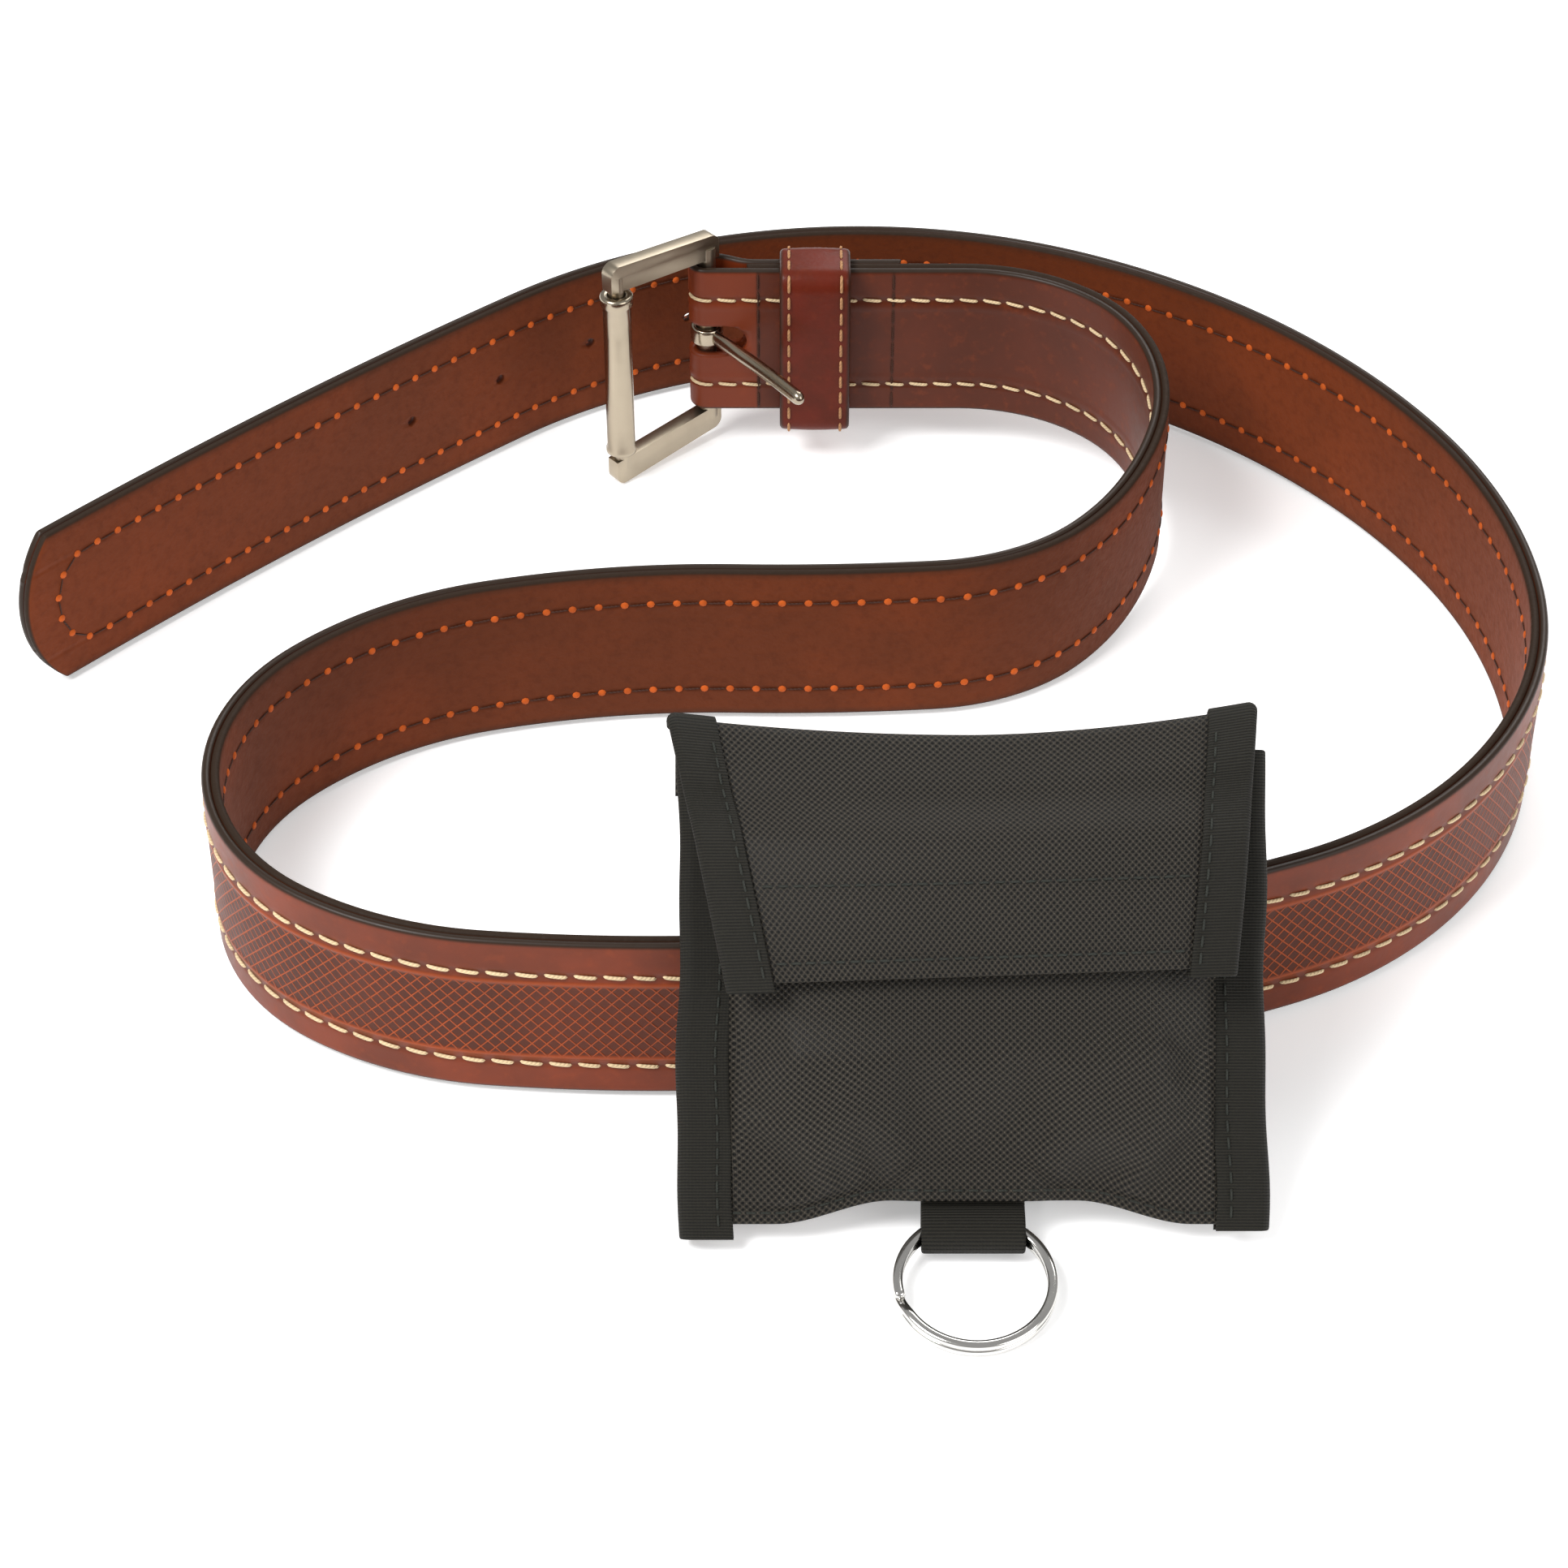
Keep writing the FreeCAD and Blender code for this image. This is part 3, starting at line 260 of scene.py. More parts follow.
# ---------------------------------------------------------------------------------------------
# Surfaces
# ---------------------------------------------------------------------------------------------
class Route:
    """A plan line of tangent arcs: each is (signed radius, turn in degrees), or (0, length)."""

    def __init__(self, start, heading, runs):
        point = np.array(start, float)
        heading = math.radians(heading)
        rows = []
        for radius, size in runs:
            bend = 1 / radius if radius else 0.0
            span = abs(radius) * math.radians(size) if radius else size
            rows.append((point[0], point[1], heading, bend, span))
            point, heading = self.step(point, heading, bend, span)
        table = np.array(rows)
        self.starts, self.headings = table[:, :2], table[:, 2]
        self.bends, self.spans = table[:, 3], table[:, 4]
        self.marks = np.concatenate([[0.0], np.cumsum(self.spans)])
        self.end, self.end_heading = point, math.degrees(heading)

    @staticmethod
    def step(point, heading, bend, gone):
        """Arc of curvature k: the chord (sin kd / k, (1 - cos kd) / k), or (d, 0), turned by the
        heading."""
        curved = np.abs(bend) > 1e-9
        safe = np.where(curved, bend, 1.0)
        ahead = np.where(curved, np.sin(bend * gone) / safe, gone)
        aside = np.where(curved, (1 - np.cos(bend * gone)) / safe, 0.0)
        cos, sin = np.cos(heading), np.sin(heading)
        moved = np.stack([ahead * cos - aside * sin, ahead * sin + aside * cos], axis=-1)
        return point + moved, heading + bend * gone

    def at(self, gone):
        """Points and headings at distances along the line."""
        run = np.clip(np.searchsorted(self.marks, gone, side="right") - 1, 0, len(self.spans) - 1)
        return self.step(self.starts[run], self.headings[run], self.bends[run],
                         gone - self.marks[run])

    def samples(self, start, stop, spacing=0.0027, turn=math.radians(7)):
        """Distances along the line, closer together on the tighter arcs, and each run's ends."""
        pieces = []
        for low, span, bend in zip(self.marks, self.spans, self.bends):
            parts = max(1, math.ceil(span / spacing), math.ceil(abs(bend) * span / turn))
            pieces.append(np.linspace(low, low + span, parts + 1)[:-1])
        marks = np.concatenate(pieces)
        return np.concatenate([[start], marks[(marks > start) & (marks < stop)], [stop]])


def belt_route():
    """The whole belt from the tongue's tip, past the pouch and the buckle's run, into the fold."""
    belt = sizes("belt")
    out = Route((0, 0), FRONT_HEADING, TO_TONGUE)
    shift = 2 * belt.eye_radius - belt.ply
    turn = math.degrees(math.acos(1 - shift / (2 * belt.fold_sweep)))
    runs = [(-radius, size) for radius, size in reversed(TO_TONGUE)]
    runs += TO_MID + TO_RUN
    runs += [(0, BUCKLE_RUN), (-belt.eye_radius, 180.0), (-belt.fold_sweep, turn),
             (belt.fold_sweep, turn), (0, belt.fold_tail)]
    route = Route(out.end, out.end_heading + 180, runs)
    level = len(TO_TONGUE) + len(TO_MID)
    climbed = level + len(TO_RUN)
    route.climb = route.marks[level]
    route.run = route.marks[climbed]
    route.bar = route.marks[climbed + 1]
    route.rise = (route.at(route.climb)[0][1] + RISE_START, route.at(route.run)[0][1] - RISE_END)
    return route


def smooth(t):
    """Cubic step: 3t squared less 2t cubed, between 0 and 1."""
    t = np.clip(t, 0, 1)
    return t * t * (3 - 2 * t)


def belt_place(route):
    """Function from distance along, height and depth towards the front ply to points: the plan
    point set off to the left by the depth, and raised by the climb to the buckle."""
    belt = sizes("belt")

    def place(along, height, depth):
        along, height, depth = np.broadcast_arrays(along, height, depth)
        point, heading = route.at(along)
        climb = smooth((point[..., 1] - route.rise[0]) / (route.rise[1] - route.rise[0]))
        low = belt.low + (belt.buckle_low - belt.low) * np.where(along > route.climb, climb, 0.0)
        return np.stack([point[..., 0] - np.sin(heading) * depth,
                         point[..., 1] + np.cos(heading) * depth, low + height], axis=-1)
    return place


def pinched(length_, round_, steps, corners=4):
    """Places along a strip and the share of its thickness there: a quarter round at both ends,
    with e = r (1 - cos a) from the end where the share is sin a."""
    angle = np.linspace(0, math.pi / 2, corners + 1)
    ends = round_ * (1 - np.cos(angle))
    middle = np.linspace(round_, length_ - round_, steps + 2)[1:-1]
    places = np.concatenate([ends, middle, length_ - ends[::-1]])
    share = np.concatenate([np.sin(angle), np.ones(len(middle)), np.sin(angle[::-1])])
    return places, share


def grid_faces(rows, columns, wrap_rows=False, wrap_columns=False):
    """Quads between neighbours on a grid of rows and columns, and round its ends if they wrap."""
    index = np.arange(rows * columns).reshape(rows, columns)
    if wrap_rows:
        index = np.concatenate([index, index[:1]], axis=0)
    if wrap_columns:
        index = np.concatenate([index, index[:, :1]], axis=1)
    return np.stack([index[:-1, :-1], index[1:, :-1], index[1:, 1:], index[:-1, 1:]],
                    axis=-1).reshape(-1, 4)


SAME_POINT = 1e-6
NO_LENGTH = 1e-7


class Surface:
    """Grids of points gathered into one mesh; each point keeps a pair of surface coordinates."""

    def __init__(self):
        self.points, self.faces, self.pairs, self.total = [], [], [], 0

    def add(self, points, pairs, wrap_rows=False, wrap_columns=False):
        """One grid, or a stack of equal grids along the first axis."""
        if points.ndim == 3:
            points, pairs = points[None], pairs[None]
        many, rows, columns = points.shape[:3]
        faces = grid_faces(rows, columns, wrap_rows, wrap_columns)
        shift = np.arange(many)[:, None, None] * rows * columns + self.total
        self.faces.append((faces[None] + shift).reshape(-1, 4))
        self.points.append(points.reshape(-1, 3))
        self.pairs.append(np.broadcast_to(pairs, points.shape[:3] + (2,)).reshape(-1, 2))
        self.total += many * rows * columns
        return self

    def piece(self, name):
        """The mesh object: doubles merged, flat faces without area taken out, faces outward."""
        points = np.concatenate(self.points)
        faces = np.concatenate(self.faces)
        pairs = np.concatenate(self.pairs)
        mesh = bpy.data.meshes.new(name)
        mesh.vertices.add(len(points))
        mesh.vertices.foreach_set("co", points.ravel())
        mesh.loops.add(faces.size)
        mesh.loops.foreach_set("vertex_index", faces.ravel())
        mesh.polygons.add(len(faces))
        mesh.polygons.foreach_set("loop_start", np.arange(len(faces)) * 4)
        mesh.update(calc_edges=True)
        layer = mesh.uv_layers.new(name="UVMap")
        layer.data.foreach_set("uv", pairs[faces.ravel()].ravel())
        work = bmesh.new()
        work.from_mesh(mesh)
        bmesh.ops.remove_doubles(work, verts=work.verts, dist=SAME_POINT)
        bmesh.ops.dissolve_degenerate(work, edges=work.edges, dist=NO_LENGTH)
        bmesh.ops.recalc_face_normals(work, faces=work.faces)
        work.to_mesh(mesh)
        work.free()
        mesh.validate()
        mesh.shade_smooth()
        made = bpy.data.objects.new(name, mesh)
        bpy.context.scene.collection.objects.link(made)
        return made


def grid_pairs(rows, columns):
    """Surface coordinates of a grid from its two lists of places."""
    return np.stack(np.broadcast_arrays(rows[:, None], columns[None, :]), axis=-1)


def slab(place, rows, columns, thick, middle=0.0, relief=None, shift=None):
    """A sheet with round edges: both faces stand half the thickness, times both shares, from the
    middle. Rows and columns are (places, shares)."""
    (u, u_share), (v, v_share) = rows, columns
    half = thick / 2 * u_share[:, None] * v_share[None, :]
    uu, vv = np.broadcast_arrays(u[:, None], v[None, :])
    pairs = np.stack([uu, vv], axis=-1)
    if shift is not None:
        uu = shift(uu, vv)
    front = middle + half
    if relief is not None:
        front = front + relief(uu, vv) * u_share[:, None] * v_share[None, :]
    surface = Surface()
    surface.add(place(uu, vv, front), pairs)
    surface.add(place(uu, vv, middle - half), pairs)
    return surface


STITCH_STEPS = 9
STITCH_SIDES = 6


def stitches(surface, place, starts, ends, radius, rise, base=0.0, slant=0.0):
    """Threads that dive into a surface at both ends: along t the middle rises as 1 - |2t - 1|^4,
    and an ellipse that closes at both ends is carried along it."""
    t = np.linspace(0, 1, STITCH_STEPS)[None, :, None]
    turn = np.linspace(0, 2 * math.pi, STITCH_SIDES, endpoint=False)[None, None, :]
    full = (1 - np.abs(2 * t - 1) ** 6) ** 0.5
    way = ends - starts
    span = np.linalg.norm(way, axis=1, keepdims=True)
    unit = way / span
    side = np.stack([-unit[:, 1], unit[:, 0]], axis=1)
    lean = slant * (2 * t - 1)
    across = radius * full * np.cos(turn) + lean
    u = starts[:, 0, None, None] + way[:, 0, None, None] * t + side[:, 0, None, None] * across
    v = starts[:, 1, None, None] + way[:, 1, None, None] * t + side[:, 1, None, None] * across
    lift = base + rise * (0.45 - np.abs(2 * t - 1) ** 4) + radius * full * np.sin(turn)
    pairs = np.stack(np.broadcast_arrays(u, v), axis=-1)
    surface.add(place(*np.broadcast_arrays(u, v, lift)), pairs, wrap_columns=True)
    return surface


def row_ends(start, stop, pitch, share):
    """Starts and ends of the stitches along a straight row of surface coordinates."""
    start, stop = np.array(start, float), np.array(stop, float)
    span = np.linalg.norm(stop - start)
    number = max(1, round(span / pitch))
    t = np.arange(number)[:, None] / number
    step = (stop - start) / number
    starts = start + (stop - start) * t + step * (1 - share) / 2
    return starts, starts + step * share


def tube(centre, normal, binormal, radii, turns=16):
    """Closed section carried along points: centre + n r1 cos a + b r2 sin a."""
    a = np.linspace(0, 2 * math.pi, turns, endpoint=False)
    n = normal[:, None, :] * (radii[:, 0, None] * np.cos(a))[..., None]
    b = binormal[:, None, :] * (radii[:, 1, None] * np.sin(a))[..., None]
    return centre[:, None, :] + n + b


def dots(surface, place, centres, radius, height, base=0.0):
    """Low domes: rings of r sin b at a height of h cos b round each centre."""
    b = np.linspace(0, math.pi / 2, 4)[None, :, None]
    a = np.linspace(0, 2 * math.pi, 8, endpoint=False)[None, None, :]
    u = centres[:, 0, None, None] + radius * np.sin(b) * np.cos(a)
    v = centres[:, 1, None, None] + radius * np.sin(b) * np.sin(a)
    lift = base + height * np.cos(b) + 0 * a
    pairs = np.stack(np.broadcast_arrays(u, v), axis=-1)
    surface.add(place(*np.broadcast_arrays(u, v, lift)), pairs, wrap_columns=True)
    return surface


def settle(piece, body, material, replaced=()):
    """Give a piece its material, the body it rides on and what it stands for."""
    piece.data.materials.clear()
    piece.data.materials.append(material)
    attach(piece, body)
    if replaced:
        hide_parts(*replaced)
    return piece


def applied(piece):
    """The piece with its modifiers made part of its mesh."""
    graph = bpy.context.evaluated_depsgraph_get()
    mesh = bpy.data.meshes.new_from_object(piece.evaluated_get(graph), depsgraph=graph)
    piece.modifiers.clear()
    piece.data = mesh
    return piece


def cut_out(piece, tools):
    """Take closed tools out of a piece with exact booleans."""
    for tool in tools:
        change = piece.modifiers.new("cut", "BOOLEAN")
        change.operation = "DIFFERENCE"
        change.solver = "EXACT"
        change.object = tool
        applied(piece)
        bpy.data.objects.remove(tool)
    piece.data.shade_smooth()
    return piece


# ---------------------------------------------------------------------------------------------
# Materials
# ---------------------------------------------------------------------------------------------
class Signal:
    """A shader socket with arithmetic: an expression on values adds its Math nodes."""

    def __init__(self, graph, socket):
        self.graph, self.socket = graph, socket

    def math(self, operation, first, second=0.0):
        return self.graph.node("ShaderNodeMath", {"operation": operation}, {0: first, 1: second})

    def __add__(self, other):
        return self.math("ADD", self, other)

    def __sub__(self, other):
        return self.math("SUBTRACT", self, other)

    def __mul__(self, other):
        return self.math("MULTIPLY", self, other)

    def __truediv__(self, other):
        return self.math("DIVIDE", self, other)

    def __rsub__(self, other):
        return self.math("SUBTRACT", other, self)

    def __rtruediv__(self, other):
        return self.math("DIVIDE", other, self)

    def __abs__(self):
        return self.math("ABSOLUTE", self)

    __radd__ = __add__
    __rmul__ = __mul__

    def frac(self):
        return self.math("FRACT", self)

    def floor(self):
        return self.math("FLOOR", self)

    def sine(self):
        return self.math("SINE", self)

    def highest(self, other):
        return self.math("MAXIMUM", self, other)

    def lowest(self, other):
        return self.math("MINIMUM", self, other)

    def ramp(self, low, high):
        """0 below low, 1 above high, smooth between."""
        return self.graph.node("ShaderNodeMapRange", {"interpolation_type": "SMOOTHSTEP"},
                               {"Value": self, "From Min": low, "From Max": high})

    def bell(self, middle, spread):
        """A bump of height 1 that falls to 0 at the spread on both sides."""
        return 1.0 - abs(self - middle).ramp(0.0, spread)


class Graph:
    """A material's node tree, filled by one method that takes any node."""

    def __init__(self, name):
        self.material = bpy.data.materials.new(name)
        self.material.use_nodes = True
        self.tree = self.material.node_tree
        self.shader = self.tree.nodes["Principled BSDF"]

    def node(self, kind, settings, sockets, output=0):
        """Add a node: its settings first, then the values or links of its sockets."""
        made = self.tree.nodes.new(kind)
        for key, value in settings.items():
            setattr(made, key, value)
        for key, value in sockets.items():
            self.put(made.inputs[key], value)
        return Signal(self, made.outputs[output])

    def put(self, socket, value):
        if isinstance(value, Signal):
            self.tree.links.new(value.socket, socket)
        elif value is not None:
            socket.default_value = value

    def along_across(self):
        """The two surface coordinates, in metres."""
        uv = self.node("ShaderNodeUVMap", {"uv_map": "UVMap"}, {})
        split = self.tree.nodes.new("ShaderNodeSeparateXYZ")
        self.tree.links.new(uv.socket, split.inputs[0])
        return Signal(self, split.outputs[0]), Signal(self, split.outputs[1])

    def here(self):
        return self.node("ShaderNodeTexCoord", {}, {}, output="Object")

    def noise(self, scale, detail=3.0, rough=0.55):
        return self.node("ShaderNodeTexNoise", {},
                         {"Vector": self.here(), "Scale": scale, "Detail": detail,
                          "Roughness": rough})

    def cells(self, scale):
        return self.node("ShaderNodeTexVoronoi", {"feature": "F1"},
                         {"Vector": self.here(), "Scale": scale}, output="Distance")

    def mix(self, factor, first, second):
        """Colour between two colours."""
        return self.node("ShaderNodeMix", {"data_type": "RGBA"}, {0: factor, 6: first, 7: second},
                         output=2)

    def bump(self, height, distance, strength=1.0):
        return self.node("ShaderNodeBump", {}, {"Height": height, "Distance": distance,
                                                "Strength": strength})

    def finish(self, **sockets):
        """Set or link the shader's own sockets; an underscore stands for a space."""
        for key, value in sockets.items():
            self.put(self.shader.inputs[key.replace("_", " ")], value)
        return self.material


def paint(name):
    """A finish colour with full alpha."""
    return (*getattr(sizes("finish"), name), 1.0)


def shade(name, times):
    """A finish colour made darker or lighter."""
    return (*(part * times for part in paint(name)[:3]), 1.0)


def leather_grain(graph):
    """Fine pebbles and pores: cells of two sizes with noise."""
    pebbles = graph.cells(900.0)
    pores = graph.noise(1600.0, 2.0)
    return pebbles * 0.6 + pores * 0.5


def both_edges(across, width, solid, faded):
    """1 along both edges of a strip, falling to 0 between two distances in from each."""
    return (1.0 - across.ramp(solid, faded)) + across.ramp(width - faded, width - solid)


def strap_front():
    """Smooth reddish leather with stitch channels and an embossed lattice between two ridges."""
    belt = sizes("belt")
    graph = Graph("strap leather")
    along, across = graph.along_across()
    mottle = graph.noise(38.0, 4.0)
    fine = graph.noise(420.0, 3.0)
    grain = leather_grain(graph)
    upper, lower = belt.upper_row, belt.lower_row
    first = (along + across * 0.9) / belt.lattice
    second = (along - across * 0.9) / belt.lattice
    lines = abs(first.frac() - 0.5).highest(abs(second.frac() - 0.5)).ramp(0.375, 0.48)
    wander = graph.noise(14.0, 2.0)
    band = (across.ramp(lower + 0.0022, lower + 0.0030)
            * (1.0 - across.ramp(upper - 0.0030, upper - 0.0022)))
    fresh = band * along.ramp(0.014, 0.016) * (1.0 - along.ramp(RIDGE_END - 0.09, RIDGE_END))
    pressed = fresh * (0.62 + 0.38 * wander.ramp(0.25, 0.55))
    border = across.bell(lower + 0.0020, 0.0009) + across.bell(upper - 0.0020, 0.0009)
    border = border * (1.0 - along.ramp(RIDGE_END - 0.05, RIDGE_END))
    base = graph.mix(0.40 + 0.60 * mottle.ramp(0.3, 0.70), paint("leather_dark"), paint("leather"))
    darker = along.ramp(RIDGE_END - 0.10, RIDGE_END + 0.05) * 0.62
    base = graph.mix(darker, base, paint("leather_dark"))
    base = graph.mix(fine.ramp(0.5, 0.85) * 0.14, base, paint("leather_light"))
    sunk = graph.mix(pressed * (1.0 - lines) * 0.90, base, paint("leather_dark"))
    raised = graph.mix(pressed * lines * (0.25 + 0.75 * fine), sunk, paint("leather_light"))
    # Painted highlight: the two ridges inside the stitch rows are lightened towards the light
    # leather.
    raised = graph.mix(border * 0.35, raised, paint("leather_light"))
    bar = belt_route().bar
    raised = graph.mix(along.ramp(bar - belt.first_seam, bar - belt.first_seam + 0.0005) * 0.70,
                       raised, paint("leather"))
    # Painted shade: a dark line across the strap in the crease at each of the fold's two seams.
    creases = along.bell(bar - belt.first_seam, 0.0008) + along.bell(bar - belt.second_seam, 0.0008)
    raised = graph.mix(creases * 0.8, raised, paint("leather_dark"))
    # Painted shade: the stitch channels under both rows are darkened on top of their real groove.
    channel = across.bell(lower, 0.0012) + across.bell(upper, 0.0012)
    raised = graph.mix(channel * 0.45, raised, paint("leather_dark"))
    rim = both_edges(across, belt.width, 0.0003, 0.0011)
    rim = rim + (1.0 - along.ramp(0.0002, 0.0012))
    tinted = graph.mix(rim.lowest(1.0), raised, paint("edge"))
    height = lines * pressed * 1.0 + border * 0.7 + grain * 0.05 - channel * 0.3
    return graph.finish(
        Base_Color=tinted, Roughness=0.32 + 0.20 * fine + 0.10 * pressed, Coat_Weight=0.04,
        Coat_Roughness=0.22, Specular_IOR_Level=0.20, Normal=graph.bump(height, 0.00035, 0.9))


def strap_back():
    """Brown lining: mottled from dark to tan, matt, darker along the edges in painted shade."""
    belt = sizes("belt")
    graph = Graph("lining leather")
    along, across = graph.along_across()
    mottle = graph.noise(16.0, 5.0, 0.6)
    fine = graph.noise(520.0, 3.0)
    grain = leather_grain(graph)
    tan = (mottle.ramp(0.42, 0.68) * 0.5 + 0.30 * (1.0 - along.ramp(0.02, 0.12))
           + 0.55 * along.bell(0.50, 0.22)).lowest(1.0)
    base = graph.mix(tan, paint("lining"), paint("lining_light"))
    base = graph.mix(fine.ramp(0.4, 0.8) * 0.3, base, paint("leather_dark"))
    # Painted shade: the lining is darkened along both stitch rows, which its bump also sinks.
    rows = across.bell(belt.lower_row, 0.0010) + across.bell(belt.upper_row, 0.0010)
    base = graph.mix(rows * 0.35 * along.ramp(0.012, 0.014), base, paint("leather_dark"))
    # Painted shade: the lining darkens towards the edge colour over a band along both edges.
    edges = both_edges(across, belt.width, 0.0003, 0.0024)
    base = graph.mix(edges.lowest(1.0) * 0.45, base, paint("edge"))
    rim = both_edges(across, belt.width, 0.0003, 0.0009)
    rim = rim + (1.0 - along.ramp(0.0002, 0.0008))
    base = graph.mix(rim.lowest(1.0), base, paint("edge"))
    height = grain * 0.5 + fine * 0.6 - rows * 0.8
    return graph.finish(Base_Color=base, Roughness=0.50 + 0.22 * fine, Specular_IOR_Level=0.12,
                        Normal=graph.bump(height, 0.00022, 0.8))


def keeper_leather():
    """Glossy red-brown leather, its rims mixed towards the dark edge colour."""
    graph = Graph("keeper leather")
    across = graph.along_across()[1]
    mottle = graph.noise(90.0, 4.0)
    fine = graph.noise(520.0, 3.0)
    base = graph.mix(0.45 + 0.55 * mottle.ramp(0.3, 0.7), paint("leather_dark"), paint("keeper"))
    base = graph.mix(fine.ramp(0.5, 0.85) * 0.06, base, paint("leather_light"))
    wide = sizes("belt").keeper_width
    rims = both_edges(across, wide, 0.0002, 0.0012)
    base = graph.mix(rims.lowest(1.0) * 0.8, base, paint("edge"))
    height = leather_grain(graph) * 0.35
    return graph.finish(Base_Color=base, Roughness=0.30 + 0.16 * fine, Coat_Weight=0.04,
                        Coat_Roughness=0.18, Specular_IOR_Level=0.12,
                        Normal=graph.bump(height, 0.0002, 0.7))


def thread(name, tone, rough=0.6, pitch=0.0009):
    """Twisted thread: slanted plies across its own coordinates."""
    graph = Graph(name)
    along, across = graph.along_across()
    plies = ((along + across * 1.6) * (2 * math.pi / pitch)).sine() * 0.5 + 0.5
    soil = graph.noise(160.0, 2.0)
    # Painted shade darkens the thread between its twisted plies, and the soiling noise darkens it
    # as real dirt.
    dark = shade(tone, 0.55)
    base = graph.mix(plies * 0.45 + soil.ramp(0.4, 0.8) * 0.35, paint(tone), dark)
    return graph.finish(Base_Color=base, Roughness=rough + 0.1 * plies, Specular_IOR_Level=0.25,
                        Normal=graph.bump(plies, 0.0001, 0.8))


def pucker_leather():
    """Light leather raised round a needle hole."""
    graph = Graph("pucker leather")
    fine = graph.noise(300.0, 3.0)
    base = graph.mix(fine.ramp(0.3, 0.8) * 0.5, paint("pucker"), paint("lining_light"))
    return graph.finish(Base_Color=base, Roughness=0.5 + 0.2 * fine, Specular_IOR_Level=0.15,
                        Normal=graph.bump(fine, 0.0001, 0.5))


def nylon_cloth():
    """Basket weave of thick yarns: on a checkerboard of cells, every other cell is a yarn's crown
    with a painted highlight, and the cells between are pores in painted shade, both as products of
    half sine waves."""
    graph = Graph("ballistic nylon")
    along, across = graph.along_across()
    pitch = sizes("pouch").yarn
    sway = graph.noise(60.0, 2.0) * 0.22
    u = along / pitch + sway
    v = across / pitch + sway
    crown = ((u.floor() + v.floor()) / 2.0).frac() * 2.0
    cell = abs((u * math.pi).sine()) * abs((v * math.pi).sine())
    pore = (1.0 - crown) * cell.ramp(0.08, 0.50)
    glint = crown * cell.ramp(0.35, 0.95)
    fibres = graph.noise(2600.0, 2.0)
    # Noise that varies the strength of the painted glints on the crowns.
    glint_strength = graph.noise(30.0, 3.0)
    # Painted light: a shaded copy of the cloth fills the pores, and a lit copy paints the glints on
    # the crowns and the fibres.
    dark = shade("nylon", 0.03)
    light = shade("nylon", 4.2)
    base = graph.mix(glint * (0.15 + 0.85 * glint_strength), paint("nylon"), light)
    base = graph.mix(fibres.ramp(0.55, 0.9) * 0.15, base, light)
    base = graph.mix(pore, base, dark)
    return graph.finish(Base_Color=base, Roughness=0.45 + 0.18 * fibres, Specular_IOR_Level=0.22,
                        Normal=graph.bump(glint - pore + fibres * 0.12, 0.00042, 1.0))


def ribbed_tape(name, tone, coarse=1.0):
    """Grosgrain: ribs across the tape."""
    graph = Graph(name)
    along, across = graph.along_across()
    sway = graph.noise(70.0, 2.0) * 0.2
    pitch = sizes("pouch").rib * coarse
    ribs = ((along / pitch + sway) * (2 * math.pi)).sine() * 0.5 + 0.5
    yarns = ((across / 0.0006 + ribs * 0.3) * (2 * math.pi)).sine() * 0.5 + 0.5
    fibres = graph.noise(2200.0, 2.0)
    # Painted light: a shaded copy of the tape fills the troughs between the ribs, and a lit copy
    # paints the fibres.
    dark = shade(tone, 0.35)
    light = shade(tone, 1.9)
    base = graph.mix(ribs.ramp(0.1, 0.8), dark, paint(tone))
    base = graph.mix(fibres.ramp(0.5, 0.9) * 0.4, base, light)
    height = ribs + yarns * 0.18 + fibres * 0.15
    return graph.finish(Base_Color=base, Roughness=0.62 + 0.15 * fibres, Specular_IOR_Level=0.22,
                        Normal=graph.bump(height, 0.00022, 0.9))


def hook_tape():
    """Dense pile of hooks and loops."""
    graph = Graph("hook tape")
    pile = graph.cells(1500.0)
    fuzz = graph.noise(900.0, 4.0)
    # Painted highlight: the pile is lightened towards a lit copy of the tape, following its height.
    light = shade("binding", 1.8)
    base = graph.mix(pile.ramp(0.1, 0.6) * fuzz, paint("binding"), light)
    return graph.finish(Base_Color=base, Roughness=0.75 + 0.15 * fuzz,
                        Normal=graph.bump(pile + fuzz, 0.0004, 1.0))


def polished(name, tone, rough, scratches):
    """Plated metal: fine rubbing marks and a faint cloudiness."""
    graph = Graph(name)
    cloud = graph.noise(70.0, 4.0)
    rubbed = graph.noise(300.0, 2.0)
    dull = shade(tone, 0.72)
    base = graph.mix(cloud.ramp(0.35, 0.75) * 0.5, paint(tone), dull)
    return graph.finish(Base_Color=base, Metallic=1.0,
                        Roughness=rough + scratches * rubbed + 0.08 * cloud,
                        Normal=graph.bump(rubbed, 0.00002, 0.3))


FINISH_MAKERS = {
    "strap_front": strap_front,
    "strap_back": strap_back,
    "keeper": keeper_leather,
    "cream_thread": lambda: thread("cream thread", "cream"),
    "brown_thread": lambda: thread("brown thread", "brown"),
    "worn_thread": lambda: thread("worn thread", "worn"),
    "black_thread": lambda: thread("black thread", "black_thread", pitch=0.0005),
    "pucker": pucker_leather,
    "nylon": nylon_cloth,
    "binding": lambda: ribbed_tape("grosgrain binding", "binding"),
    "webbing": lambda: ribbed_tape("webbing", "binding", 1.1),
    "hook": hook_tape,
    "nickel": lambda: polished("satin nickel", "nickel", 0.26, 0.06),
    "bright_nickel": lambda: polished("bright nickel", "nickel", 0.16, 0.05),
    "steel": lambda: polished("bright steel", "steel", 0.07, 0.05),
}


